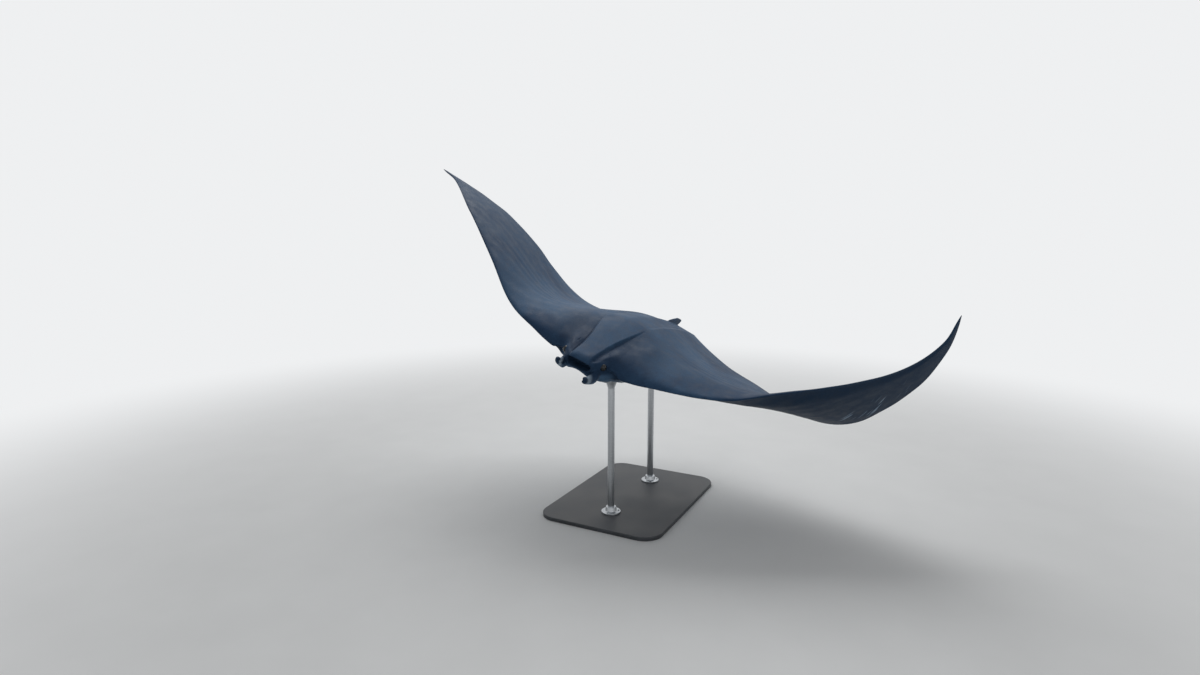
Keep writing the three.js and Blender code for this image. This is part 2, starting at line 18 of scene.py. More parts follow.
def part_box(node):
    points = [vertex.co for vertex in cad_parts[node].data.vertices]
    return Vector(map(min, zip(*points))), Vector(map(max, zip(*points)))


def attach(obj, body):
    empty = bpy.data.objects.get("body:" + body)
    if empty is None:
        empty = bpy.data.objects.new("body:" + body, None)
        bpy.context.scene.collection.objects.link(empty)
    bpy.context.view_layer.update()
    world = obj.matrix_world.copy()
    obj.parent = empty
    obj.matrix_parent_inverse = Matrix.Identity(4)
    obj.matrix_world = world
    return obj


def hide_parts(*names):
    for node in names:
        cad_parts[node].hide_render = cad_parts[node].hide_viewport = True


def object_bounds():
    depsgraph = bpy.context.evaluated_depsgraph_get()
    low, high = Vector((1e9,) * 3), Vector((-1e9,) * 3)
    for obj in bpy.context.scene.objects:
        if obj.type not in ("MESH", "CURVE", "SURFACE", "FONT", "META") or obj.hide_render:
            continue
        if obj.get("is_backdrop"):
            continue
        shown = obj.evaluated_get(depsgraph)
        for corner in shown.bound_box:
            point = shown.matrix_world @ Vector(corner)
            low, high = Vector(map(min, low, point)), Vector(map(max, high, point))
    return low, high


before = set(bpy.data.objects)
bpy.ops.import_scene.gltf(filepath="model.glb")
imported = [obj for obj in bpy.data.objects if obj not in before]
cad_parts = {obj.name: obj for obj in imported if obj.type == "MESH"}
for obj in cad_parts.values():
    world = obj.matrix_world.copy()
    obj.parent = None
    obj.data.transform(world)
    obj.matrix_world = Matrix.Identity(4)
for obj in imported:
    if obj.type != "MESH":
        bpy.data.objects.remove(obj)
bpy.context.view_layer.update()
print("frame nodes:", len(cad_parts))

# %% [markdown]
# ## The camera
# A wide lens set a little above the animal looks slightly down on it, from its front left.
# The camera comes first because every later choice of detail depends on what it sees. A
# camera looks along its own -Z, straight down when it isn't turned, so it is tipped up by a
# right angle less its dip, and then turned about the vertical.

# %% Camera
CAMERA_PLACE = (1.829, -3.952, 1.796)
CAMERA_TURN = np.radians(27.6)
CAMERA_DIP = np.radians(9.28)
SENSOR_WIDTH = 36.0
LENS = 20.67
FARTHEST_SEEN = 200

camera_data = bpy.data.cameras.new("camera")
camera_data.sensor_width = SENSOR_WIDTH
camera_data.lens = LENS
camera_data.clip_end = FARTHEST_SEEN
camera = bpy.data.objects.new("camera", camera_data)
camera.location = CAMERA_PLACE
camera.rotation_euler = (np.pi / 2 - CAMERA_DIP, 0, CAMERA_TURN)
bpy.context.scene.collection.objects.link(camera)
bpy.context.scene.camera = camera
print("camera at", CAMERA_PLACE)

# %% [markdown]
# ## The ray, pressed flat
# A manta is a soft disc that bends. It could be sculpted straight into its pose, but then its
# outline would be hard to keep true to the species. So it is described twice: first flat, as
# an outline with a thickness, and then bent. "Span" runs from 0 on the midline to 1 at a wing
# tip, and x runs forward from the front of the head. In the outline, how far is a share of the
# disc's length.

# %% Curves that ease
def mix(a, b, t):
    """a where t is 0, b where t is 1."""
    return a + (b - a) * t


def ease(x, start, end):
    """0 before start, 1 after end, and smooth between them."""
    t = np.clip((x - start) / (end - start), 0, 1)
    return t * t * (3 - 2 * t)


def bell(x, center, width):
    """1 at the centre, falling smoothly to about 0 two widths away."""
    return np.exp(-(((x - center) / width) ** 2))


print("halfway along an ease:", ease(0.5, 0, 1))

# %% Outline
DISC_LENGTH = 1.540
HALF_SPAN = 1.855
HEAD_HALF = 0.07          # half width of the head, as a span fraction
CORNER_START, CORNER_END = 0.9 * HEAD_HALF, 1.12 * HEAD_HALF
HEAD_BULGE = 0.02         # how far the head's front edge runs back to its corner
EDGE_START = 0.075        # how far back a wing's front edge starts
EDGE_SLOPE, EDGE_CURL = 0.07, 0.515     # and runs back from there: evenly, and near the tip
TIP_HOOK = 0.04           # how much farther back it is near a tip
HOOK_START, HOOK_FULL = 0.76, 0.94
REAR_RISE = 0.34          # how far the rear edge comes forward from the midline to a tip


def front_edge(span):
    """x of the front edge: a shallow curve across the head, then a long sweep to the tip."""
    t = np.clip((span - HEAD_HALF) / (1 - HEAD_HALF), 0, 1)
    hook = TIP_HOOK * ease(span, HOOK_START, HOOK_FULL) * (1 - ease(span, HOOK_FULL, 1))
    wing = -EDGE_START - EDGE_SLOPE * t - EDGE_CURL * t**2.4 - hook
    head = -HEAD_BULGE * (span / HEAD_HALF) ** 2
    return DISC_LENGTH * mix(head, wing, ease(span, CORNER_START, CORNER_END))


def rear_edge(span):
    return DISC_LENGTH * (-1 + REAR_RISE * (1 - (1 - span) ** 1.2))


print("disc", DISC_LENGTH, "m long,", 2 * HALF_SPAN, "m across when flat")

# %% Thickness
WING_THICKNESS = 0.150
TRUNK_THICKNESS = 0.200
TRUNK_SPREAD = 0.2
EDGE_THICKNESS = 0.006
BACK_SHARE = 0.55         # share of the thickness above the middle surface
UPPER_LIP = 0.27          # lip heights, as shares of the shoulders' height
LOWER_LIP = 0.48
LIP_ROUND = 0.035         # share of a section over which the lips round off
SHOULDER = 0.36           # where the midline is highest, as a share of the length
NOSE_LIFT = 0.024         # a wing's front edge rises this far where it meets the head
NOSE_DROOP = 0.028        # and dips this far a little farther out
NOSE_REACH = 0.22         # share of the section's length over which this fades
NOSE_BELOW = 0.68         # share by which the underside is thinner behind that edge
CHIN = 0.35               # share by which the lower jaw is shallower on the midline
JOWL = 0.34               # share by which it is deeper below the corners of the head


def thickness_at(span):
    return WING_THICKNESS * (1 - span) + TRUNK_THICKNESS * bell(span, 0, TRUNK_SPREAD)


def section_height(v):
    """The usual formula of a rounded-front wing section, 1 high at its thickest."""
    return 2.969 * np.sqrt(v) - 1.26 * v - 3.516 * v**2 + 2.843 * v**3 - 1.015 * v**4


def midline_height(back, v, lip):
    """Section near the midline: low, blunt lips that rise to the shoulders."""
    blunt = np.clip(v / LIP_ROUND, 0, 1)
    nape = mix(lip, 1, ease(back, 0, SHOULDER))
    rear = section_height(np.maximum(v, SHOULDER)) / section_height(SHOULDER)
    return np.sqrt(blunt * (2 - blunt)) * nape * rear


def nose_rise(span, v):
    """Rise of the middle surface to a wing's front edge: up by the head, down farther out."""
    near = ease(span, 0.03, 0.065) * (1 - ease(span, 0.07, 0.1))
    out = ease(span, 0.074, 0.135) * (1 - ease(span, 0.28, 0.55))
    return (NOSE_LIFT * near - NOSE_DROOP * out) * (1 - ease(v, 0, NOSE_REACH))


def skin_height(span, v, side):
    """Height of the plain skin above (side 1) or below (side -1) the middle surface."""
    share = np.where(side > 0, BACK_SHARE, 1 - BACK_SHARE)
    lip = np.where(side > 0, UPPER_LIP, LOWER_LIP)
    below = np.where(side > 0, 0, 1)
    back = -mix(front_edge(span), rear_edge(span), v) / DISC_LENGTH
    wingness = ease(span, 0.8 * HEAD_HALF, 2.2 * HEAD_HALF)
    chin = CHIN * below * bell(span, 0, 0.04) * (1 - ease(back, 0.03, 0.16))
    jowl = JOWL * below * bell(span, 0.06, 0.02) * (1 - ease(back, 0.08, 0.2))
    nose = ease(span, 0.07, 0.125) * (1 - ease(v, 0, NOSE_REACH))
    section = mix(midline_height(back, v, lip) * (1 - chin), section_height(v), wingness)
    section = section * (1 + jowl) * (1 - NOSE_BELOW * below * nose)
    edge = 0.5 * EDGE_THICKNESS * ease(v, 0, 0.2)
    return side * (share * thickness_at(span) * section + edge)


print("thickness on the midline:", round(thickness_at(0), 3), "m")

# %% [markdown]
# ## Bending the wings
# In life each wing beats along its whole length, with no joint anywhere. A skeleton of bones
# would bend it at a few places only, so it is bent here along a spar: a line out to the tip
# that rises, sweeps back and twists by small steps. The two wings have their own curves, as
# the left one curls up at its tip while the right one is stretched out. The whole body then
# banks to its left.

# %% Spars of the wings
BEND_START = 0.08         # span fraction where the bending starts
SPAR_BACK = 0.550         # distance of the spar from the head's front
SPAR_STEPS = 200
LEFT, RIGHT = 1, -1
WINGS = {                 # degrees, at equal steps from the root to the tip
    LEFT: {"rise": (5, 12, 43, 58, 90), "twist": (6, 12, 29, 29, 26), "sweep": (6, -21)},
    RIGHT: {"rise": (7, 33, 30, 20, 17), "twist": (7, 10, 8, 6, 7), "sweep": (-8, -8)},
}


def unit(v):
    return v / np.linalg.norm(v, axis=-1, keepdims=True)


def shares(count):
    """0, 1/count, 2/count and so on, up to 1."""
    return np.arange(count + 1) / count


def curve_through(values, t):
    """Smooth curve through equally spaced values, for t from 0 to 1."""
    v = np.asarray(values, float)
    v = np.concatenate([[2 * v[0] - v[1]], v, [2 * v[-1] - v[-2]]])
    place = np.clip(t, 0, 1) * (len(v) - 3)
    i = np.minimum(place.astype(int), len(v) - 4)
    f = place - i
    before, here, after, beyond = v[i], v[i + 1], v[i + 2], v[i + 3]
    square = 2 * before - 5 * here + 4 * after - beyond
    cube = 3 * here - before - 3 * after + beyond
    return 0.5 * (2 * here + (after - before) * f + square * f**2 + cube * f**3)


def spar(side):
    """Places along one wing's spar, and the ways forward and up there."""
    wing = WINGS[side]
    t = np.clip((shares(SPAR_STEPS) - BEND_START) / (1 - BEND_START), 0, 1)
    rise = np.radians(curve_through((0, *wing["rise"]), t))
    twist = np.radians(curve_through((0, *wing["twist"]), t))[:, None]
    sweep = np.radians(wing["sweep"][0] * t + wing["sweep"][1] * t**2)
    outward = np.stack(
        [side * np.cos(sweep) * np.cos(rise), np.sin(sweep), np.cos(sweep) * np.sin(rise)], -1)
    level = np.stack(
        [side * np.sin(sweep) * np.cos(rise), -np.cos(sweep), np.sin(sweep) * np.sin(rise)], -1)
    forward = level * np.cos(twist) - side * np.cross(outward, level) * np.sin(twist)
    steps = 0.5 * (outward[1:] + outward[:-1]) * HALF_SPAN / SPAR_STEPS
    origin = np.array([0, SPAR_BACK, 0]) + np.vstack([np.zeros(3), np.cumsum(steps, 0)])
    return origin, forward, -side * np.cross(outward, forward)


SPARS = {side: spar(side) for side in WINGS}
print("left spar rises to", round(SPARS[LEFT][0][-1, 2], 3), "m")


# %% From flat to bent
def body_point(station, x, height):
    """Bent places of flat points. A station is a span fraction, negative on the right."""
    station, x, height = np.broadcast_arrays(station, x, height)
    place = np.abs(station) * SPAR_STEPS
    i = np.minimum(place.astype(int), SPAR_STEPS - 1)
    f = (place - i)[..., None]
    parts = []
    for k in range(3):
        left, right = (mix(SPARS[s][k][i], SPARS[s][k][i + 1], f) for s in (LEFT, RIGHT))
        parts.append(np.where(station[..., None] < 0, right, left))
    origin, forward, up = parts[0], unit(parts[1]), unit(parts[2])
    return origin + forward * (x + SPAR_BACK)[..., None] + up * height[..., None]


print("shoulder at", np.round(body_point(0.0, -SHOULDER * DISC_LENGTH, 0), 3).tolist())

# %% Up on the stand
BANK = np.radians(20)
BODY_CENTRE_BACK = 0.735
PLACE_ON_STAND = np.array([0, -BODY_CENTRE_BACK, 1.050])


def banked(points, angle):
    """Points turned about the swimming direction, with the left side down."""
    x, y, z = np.moveaxis(np.asarray(points, float), -1, 0)
    across = x * np.cos(angle) + z * np.sin(angle)
    return np.stack([across, y, z * np.cos(angle) - x * np.sin(angle)], -1)


def stand_up(points):
    """From the ray's own level frame to its place above the stand."""
    return banked(points, BANK) + PLACE_ON_STAND


def lie_level(points):
    """Back from the stand to the ray's own level frame."""
    return banked(points - PLACE_ON_STAND, -BANK)


tips = stand_up(body_point(np.array([1.0, -1.0]), np.array([front_edge(1.0)] * 2), 0))
print("wing tips at", np.round(tips, 3).tolist())

# %% [markdown]
# ## Relief of the skin
# The plain formulas give a smooth pebble. A real manta has a flat-topped head with a fold
# along each side, lids round its eyes, small spiracles behind them, five pairs of gill slits
# under the throat, a vent between the pelvic fins, and faint ridges where the wing's stiff
# rays lie. A bump map could only shade them, so each is a height that is added along the
# skin's own normal. Written as functions of the flat place, across and behind the head's
# front, they stay true wherever the wing is bent.

# %% Head fold, spiracles and back
FOLD_AT_FRONT, FOLD_AT_SHOULDER = 0.062, 0.127
SPIRACLE_OUT, SPIRACLE_BACK = 0.101, 0.165
RAY_FAN_BACK, RAY_FAN_IN = 0.62, 0.15    # where the wing rays would meet, inside the body
RAYS_IN_A_TURN = 64


def fold_line(back):
    """Distance of the fold beside the head from the midline."""
    return mix(FOLD_AT_FRONT, FOLD_AT_SHOULDER, ease(back, 0.12, 0.50))


def head_fold(across, back):
    """A step down beyond the fold, with a thin groove at its foot, that fades to the rear."""
    beyond = np.abs(across) - fold_line(back)
    depth = ease(back, -0.02, 0.05) * (1 - ease(back, 0.24, 0.56))
    step = -0.017 * ease(beyond, -0.005, 0.009) * (1 - ease(beyond, 0.02, 0.17))
    groove = -0.004 * bell(beyond, 0.008, 0.004)
    return depth * (step + groove)


def spiracle(across, back):
    """A short slit with a raised lip, behind each eye."""
    out = np.abs(across)
    slit = bell(out, SPIRACLE_OUT, 0.0045) * bell(back, SPIRACLE_BACK, 0.013)
    lip = bell(out, SPIRACLE_OUT, 0.012) * bell(back, SPIRACLE_BACK, 0.024)
    return 0.003 * lip - 0.008 * slit


def backbone(across, back):
    """A low ridge along the rear half of the midline, with a shallow dip on each side."""
    along = ease(back, 0.45, 0.75) * (1 - ease(back, 1.30, 1.48))
    ridge = 0.0025 * bell(across, 0, 0.035)
    return along * (ridge - 0.002 * bell(np.abs(across), 0.11, 0.06))


def wing_rays(across, back):
    """Faint ridges that fan out from the shoulder across each wing."""
    out = np.abs(across)
    fan = np.arctan2(back - RAY_FAN_BACK, out + RAY_FAN_IN)
    share = ease(out, 0.30, 0.60) * (1 - ease(out, 1.45, 1.80))
    return 0.0008 * np.sin(RAYS_IN_A_TURN * fan + 2.0 * np.sin(9 * fan)) * share


def wing_rim(span, above_edge):
    """The wing's front edge beside the head: a firm rim with a hollow under it."""
    along = ease(span, 0.070, 0.086) * (1 - ease(span, 0.16, 0.24))
    rim = 0.008 * bell(above_edge, -0.002, 0.009)
    return along * (rim - 0.016 * bell(above_edge, -0.026, 0.013))


print("fold", FOLD_AT_FRONT, "to", FOLD_AT_SHOULDER, "m from the midline")

# %% Gill slits and vent
GILL_COUNT = 5
GILL_FIRST = 0.205        # behind the head's front, at its inner end
GILL_SPACING = 0.050
GILL_INNER_END = 0.052
GILL_LENGTH, GILL_SHORTER = 0.150, 0.012    # the first one, and each one after it
VENT_BACK = 1.405


def gill_slits(across, back):
    """Five flaps a side: each swells backward, then drops into its slit."""
    height = 0
    for k in range(GILL_COUNT):
        t = (np.abs(across) - GILL_INNER_END) / (GILL_LENGTH - GILL_SHORTER * k)
        behind = back - (GILL_FIRST + GILL_SPACING * k + 0.030 * np.clip(t, 0, 1.2) ** 2)
        length = ease(t, -0.08, 0.10) * (1 - ease(t, 0.88, 1.06))
        flap = 0.008 * ease(behind, -0.040, -0.004) * (1 - ease(behind, -0.004, 0.003))
        slit = 0.013 * ease(behind, -0.004, 0.003) * (1 - ease(behind, 0.006, 0.022))
        height = height + length * (flap - slit)
    return height


def vent(across, back):
    rim = bell(across, 0, 0.020) * bell(back, VENT_BACK, 0.034)
    pit = bell(across, 0, 0.008) * bell(back, VENT_BACK, 0.018)
    return 0.004 * rim - 0.011 * pit


print("gill slits:", 2 * GILL_COUNT, "from", GILL_FIRST, "m back")

# %% [markdown]
# ## One dense skin
# A subdivision surface would round off the folds and slits just described, so the disc is a
# dense loft instead: fore-and-aft rings, one for each station from the right tip to the left
# one, with points packed closer at the front edge, round the eyes and under the throat. Each
# point also remembers its flat place and whether it is on the underside, because the
# markings are painted from those later.

# %% Rings of the disc
POINTS_ABOVE, POINTS_BELOW = 118, 146
# Span fractions from and to, and how many rings between them.
STATION_RUNS = ((0, 0.028, 8), (0.028, 0.085, 34), (0.085, 0.17, 20), (0.17, 0.90, 76),
                (0.90, 0.9985, 20))
RAGGED_WAVES = ((0.0035, 41, 0), (0.0025, 67, 1))    # height, how many, and where they start
TIP_ROUND = 0.02          # share of the span over which the thickness closes at the tip


def chord_shares(count, throat):
    """Shares of the chord from front to rear, closer at the front and under the throat."""
    v = np.linspace(0, 1, 4001)
    density = (v + 1e-5) ** (-1 / 3) + throat * ease(v, 0.08, 0.13) * (1 - ease(v, 0.30, 0.36))
    reached = np.concatenate([[0], np.cumsum(0.5 * (density[1:] + density[:-1]))])
    return np.interp(np.arange(1, count + 1) / count, reached / reached[-1], v)


half = np.concatenate([np.linspace(a, b, n, endpoint=False) for a, b, n in STATION_RUNS]
                      + [[STATION_RUNS[-1][1]]])
stations = np.concatenate([-half[:0:-1], half])[:, None]
spans = np.abs(stations)
above_shares, below_shares = chord_shares(POINTS_ABOVE, 0.4), chord_shares(POINTS_BELOW, 2.6)
chord_share = np.concatenate([above_shares[::-1], [0], below_shares])[None, :]
step = np.arange(-POINTS_ABOVE, POINTS_BELOW + 1)
side_of = np.where(step < 0, 1, -1)[None, :]
print("stations:", len(stations), "points a ring:", len(step))

# %% The disc, bent
ragged = sum(high * np.sin(count * stations + start) for high, count, start in RAGGED_WAVES)
rear = rear_edge(spans) - ragged * ease(spans, 0.15, 0.35) * (1 - ease(spans, 0.9, 0.99))
plain_front = front_edge(np.maximum(spans, CORNER_END))
flat_x = mix(plain_front, rear, chord_share)
flat_x = flat_x + (front_edge(spans) - plain_front) * (1 - ease(chord_share, 0, 0.07))
chord_share = np.clip((flat_x - front_edge(spans)) / (rear - front_edge(spans)), 0, 1)
flat_z = skin_height(spans, chord_share, side_of) * np.where(step == 0, 0, 1)[None, :]
closing = np.sqrt(np.clip((1 - spans) / TIP_ROUND, 0, 1))
flat_z = flat_z * closing + nose_rise(spans, chord_share)
lip_x = flat_x[:, -1:] - 0.5 * EDGE_THICKNESS
flat_x = np.hstack([flat_x, lip_x])
flat_z = np.hstack([flat_z, nose_rise(spans, 1)])
disc = body_point(stations, flat_x, flat_z)
print("disc grid:", disc.shape[:2])

# %% [markdown]
# ## Rounding the head and adding the relief
# The flat description leaves a hard corner where the head meets the wings. On the animal that
# corner is a full, round cheek with the eye on it. A formula for the cheek would be long, so
# the points there are relaxed instead: each moves toward the mean of its four neighbours,
# over and over. The skin is then set at the right depth over the eye, and only after that
# does it get its relief, so that the relaxing doesn't wipe it away.

# %% Round off the corners of the head
CORNER_REACH = 0.110
CORNER_ROUNDS = 130
CORNER_PULL = 0.7         # share of the way that a point moves in each round
EYE_RADIUS = 0.021
EYE_STATION = 0.945 * HEAD_HALF
EYE_BACK = 0.086          # behind the head's front
EYE_HEIGHT = 0.014        # above the middle surface
EYE_DEPTH = 0.0165        # from the eye's centre out to the skin round it


def eye_center(side):
    return body_point(side * EYE_STATION, -EYE_BACK, EYE_HEIGHT)


def eye_axis(side):
    return unit(np.array([side, -0.30, 0.06]))


def from_eye(points, side):
    """How far points lie out along the eye's axis, and away from it."""
    offset = points - eye_center(side)
    out = offset @ eye_axis(side)
    return out, np.linalg.norm(offset - out[..., None] * eye_axis(side), axis=-1)


beside = ease(spans * HALF_SPAN, 0.080, 0.115) * (1 - ease(spans * HALF_SPAN, 0.17, 0.26))
cheek = beside * ease(-flat_x, 0.06, 0.12) * (1 - ease(-flat_x, 0.26, 0.44)) * (flat_z > 0)
distance = [np.linalg.norm(disc - eye_center(side), axis=-1) for side in (LEFT, RIGHT)]
corner = 1 - ease(np.minimum(*distance), 0.35 * CORNER_REACH, CORNER_REACH)
weight = CORNER_PULL * np.maximum(cheek, corner)[..., None]
for _ in range(CORNER_ROUNDS):
    around = sum(np.roll(disc, shift, axis) for shift in (1, -1) for axis in (0, 1)) / 4
    disc = mix(disc, around, weight)
for side in (LEFT, RIGHT):
    out, away = from_eye(disc, side)
    here = out[(away < 0.012) & (out > 0) & (out < 0.06)].mean()
    shift = (EYE_DEPTH - here) * bell(away, 0, 0.040) * ease(out, -0.01, 0.01)
    disc = disc + shift[..., None] * eye_axis(side)
    print("skin over the eye moved by", round((EYE_DEPTH - here) * 1000, 1), "mm")

# %% Which way is out
along_ring = np.roll(disc, -1, 1) - np.roll(disc, 1, 1)
normals = unit(np.cross(along_ring, np.gradient(disc, axis=0)))
inside = disc.mean(1, keepdims=True)
normals *= np.sign(((disc - inside) * normals).sum(-1).mean())
print("normals:", normals.shape)


# %% Add the relief along the normals
def eyelids(points):
    """A soft ring of skin round each eye."""
    height = 0
    for side in (LEFT, RIGHT):
        out, away = from_eye(points, side)
        near = ease(out, -0.012, 0.004) * (1 - ease(out, 0.03, 0.05))
        height = height + 0.0050 * bell(away, 0.018, 0.009) * near
    return height


across = np.broadcast_to(stations * HALF_SPAN, flat_x.shape)
back = -flat_x
from_front = np.hstack([chord_share, 1 + 0 * rear]) * (front_edge(spans) - rear)
ring_side = np.hstack([side_of, [[0]]])
under = 0.5 - 0.5 * ring_side * ease(from_front, 0, 0.035)
above = 1 - under
thin = ease(from_front, 0, 0.03) * ease(from_front[:, -1:] - from_front, 0, 0.03)
relief = above * (head_fold(across, back) + spiracle(across, back) + backbone(across, back))
relief = relief + under * thin * (gill_slits(across, back) + vent(across, back))
relief = relief + thin * wing_rays(across, back) * np.where(under > 0.5, 0.6, 1)
ring_steps = np.linalg.norm(np.diff(disc, axis=1), axis=-1)
round_ring = np.hstack([0 * spans, np.cumsum(ring_steps, 1)])
relief = relief + wing_rim(spans, round_ring[:, POINTS_ABOVE:POINTS_ABOVE + 1] - round_ring)
disc = disc + normals * (relief + eyelids(disc))[..., None]
print("relief from", round(relief.min() * 1000, 1), "to", round(relief.max() * 1000, 1), "mm")

# %% From rings of points to a mesh
def shade_smooth(mesh):
    mesh.polygons.foreach_set("use_smooth", [True] * len(mesh.polygons))


def add_mesh(name, points, faces):
    mesh = bpy.data.meshes.new(name)
    mesh.from_pydata(points.tolist(), [], faces)
    mesh.validate()
    shade_smooth(mesh)
    piece = bpy.data.objects.new(name, mesh)
    bpy.context.scene.collection.objects.link(piece)
    return piece


def tube(rings):
    """Points and faces of a closed skin over rings of points, with a fan at each end."""
    count, around = rings.shape[:2]
    points = np.vstack([rings.reshape(-1, 3), rings[0].mean(0), rings[-1].mean(0)])
    i, j = np.meshgrid(np.arange(count - 1), np.arange(around), indexing="ij")
    a, b = i * around + j, i * around + (j + 1) % around
    quads = np.stack([a, b, b + around, a + around], -1).reshape(-1, 4)
    turn = np.arange(around)
    following = (turn + 1) % around
    last = (count - 1) * around
    first_fan = np.column_stack([np.full(around, count * around), following, turn])
    last_fan = np.column_stack([np.full(around, count * around + 1), last + turn,
                                last + following])
    return points, quads, np.vstack([first_fan, last_fan])


def signed_volume(points, quads, fans):
    """Above 0 where the faces look outward, and below 0 where they look inward."""
    corners = np.vstack([quads[:, [0, 1, 2]], quads[:, [0, 2, 3]], fans])
    a, b, c = (points[corners[:, k]] for k in range(3))
    return (a * np.cross(b, c)).sum()


def add_tube(name, rings, place=stand_up):
    """A piece with a closed skin over rings, put in place, with its faces looking outward."""
    points, quads, fans = tube(np.asarray(rings))
    points = place(points)
    if signed_volume(points - points.mean(0), quads, fans) < 0:
        quads, fans = quads[:, ::-1], fans[:, ::-1]
    return add_mesh(name, points, [*quads.tolist(), *fans.tolist()])


skin = add_tube("skin", disc)
print("skin:", len(skin.data.vertices), "points")

# %% [markdown]
# ## Fins and tail
# The cephalic fins are soft paddles beside the mouth. A swimming manta rolls them into short
# horns with a deep groove down the inner side. A thin sheet could be rolled up in the same
# way, but its edges would cut into each other, so each horn is a loft of kidney-shaped rings
# along a short curve. The dorsal and pelvic fins are thin blades, and the tail is a plain whip.

# %% Cephalic fins
HORN_LENGTH = 0.155
HORN_ROOT = (0.102, 0.080, -0.042)
HORN_SAG = 0.015          # how far its middle hangs below a straight line
HORN_HEIGHTS = (0.090, 0.086, 0.072, 0.057, 0.046, 0.042, 0.037)
HORN_WIDTHS = (0.048, 0.046, 0.039, 0.034, 0.032, 0.034, 0.030)
HORN_LIFT = {LEFT: np.radians(1), RIGHT: np.radians(15)}
HORN_TOE_IN = {LEFT: 0.0, RIGHT: np.radians(7)}
HORN_GROOVE = 0.74        # share of the half width that the groove takes away
HORN_END = 0.86           # share of the length at which the round end starts


def angles_round(count):
    return 2 * np.pi * np.arange(count) / count


HORN_SHARES = 1 - (1 - shares(44)) ** 1.5     # closer together at the round end
HORN_ANGLES = angles_round(56)


def horn_rings(side):
    toe, lift = HORN_TOE_IN[side], HORN_LIFT[side]
    ahead = np.array([-side * np.sin(toe), -np.cos(toe), np.tan(lift)])
    root = np.array(HORN_ROOT) * [side, 1, 1]
    knots = np.array([0, 0.3, 0.65, 1])[:, None]
    line = root + ahead * HORN_LENGTH * knots
    line[:, 2:] -= HORN_SAG * np.sin(np.pi * knots)
    center = [curve_through(line[:, k], HORN_SHARES) for k in range(3)]
    center = np.stack(center, -1)[:, None, :]
    ending = np.clip((HORN_SHARES - HORN_END) / (1 - HORN_END), 0, 1)
    size = np.maximum(np.sqrt(1 - ending**2), 0.012)
    tall = (0.5 * size * curve_through(HORN_HEIGHTS, HORN_SHARES))[:, None]
    wide = (0.5 * size * curve_through(HORN_WIDTHS, HORN_SHARES))[:, None]
    groove = 1 - HORN_GROOVE * bell(HORN_ANGLES, np.pi, 0.62)
    out = side * wide * groove * np.cos(HORN_ANGLES)
    height = tall * np.sin(HORN_ANGLES) * groove**0.3
    return center + np.stack([out, np.zeros_like(out), height], -1)


horns = {side: add_tube("cephalic_fin_blank", horn_rings(side)) for side in (LEFT, RIGHT)}
print("cephalic fins:", HORN_LENGTH, "m long")

# %% Dorsal and pelvic fins
BLADE_STATIONS = shares(26)              # root to tip
BLADE_SHARES = shares(14) ** 1.6         # front to rear, closer together at the front
DORSAL = {"front": 1.220, "base": 0.080, "chord": 0.325, "height": 0.058, "lean": 0.72,
          "slope": np.radians(13.5), "tip": 0.5, "thick": 0.020}
PELVIC = {"front": 1.430, "length": 0.205, "width": 0.078, "spread": 0.092, "splay": 0.014,
          "droop": 0.036, "tip": 0.6, "thick": 0.018}


def round_end(s):
    """How a fin's width closes over its last part, into a rounded tip."""
    return np.sqrt(np.maximum(0.004, 1 - s**8))


def blade_rings(front, chord, along, across_it, thick):
    """Wing sections stacked from root to tip, each starting at its own front point."""
    s = BLADE_STATIONS
    closing = np.sqrt(np.clip((1 - s) / 0.06, 0.02, 1))
    half_thick = 0.5 * thick * (1 - 0.6 * s) * closing
    v = np.concatenate([BLADE_SHARES, BLADE_SHARES[-1:0:-1]])
    side = np.where(np.arange(len(v)) < len(BLADE_SHARES), 1, -1)
    profile = np.maximum(section_height(v), 0.16 * (v > 0)) * side
    profile[len(BLADE_SHARES) - 1] = 0
    points = front[:, None, :] + (chord[:, None] * v)[..., None] * along
    return points + (half_thick[:, None] * profile)[..., None] * across_it


def dorsal_rings():
    s = BLADE_STATIONS
    along = np.array([0, np.cos(DORSAL["slope"]), -np.sin(DORSAL["slope"])])
    root = np.stack([0 * s, DORSAL["front"] + 0 * s, DORSAL["base"] + DORSAL["height"] * s], -1)
    front = root + (DORSAL["lean"] * DORSAL["chord"] * s**1.5)[:, None] * along
    chord = DORSAL["chord"] * mix(1, DORSAL["tip"], s) * round_end(s)
    return blade_rings(front, chord, along, np.array([1, 0, 0]), DORSAL["thick"])


def pelvic_rings(side):
    s = BLADE_STATIONS
    full = PELVIC["width"] * mix(1, PELVIC["tip"], s)
    inner = PELVIC["spread"] - 0.5 * PELVIC["width"] + PELVIC["splay"] * s
    inner = inner + 0.5 * full * (1 - round_end(s))
    back = PELVIC["front"] + PELVIC["length"] * s
    front = np.stack([side * inner, back, -0.006 - PELVIC["droop"] * s**1.5], -1)
    sideways, upward = np.array([side, 0, 0]), np.array([0, 0, 1])
    return blade_rings(front, full * round_end(s), sideways, upward, PELVIC["thick"])


dorsal_fin = add_tube("dorsal_fin_blank", dorsal_rings())
pelvic_fins = [add_tube("pelvic_fin_blank", pelvic_rings(side)) for side in (LEFT, RIGHT)]
print("dorsal fin:", DORSAL["chord"], "m long,", DORSAL["height"], "m high")

# %% Tail
TAIL_LENGTH = 1.150
TAIL_START = 1.440
TAIL_RADIUS, TAIL_END_RADIUS = 0.024, 0.004
TAIL_DROOP = np.radians((15, 46))
TAIL_SWAY = np.radians((0, 12))
TAIL_RINGS, TAIL_SIDES = 120, 28


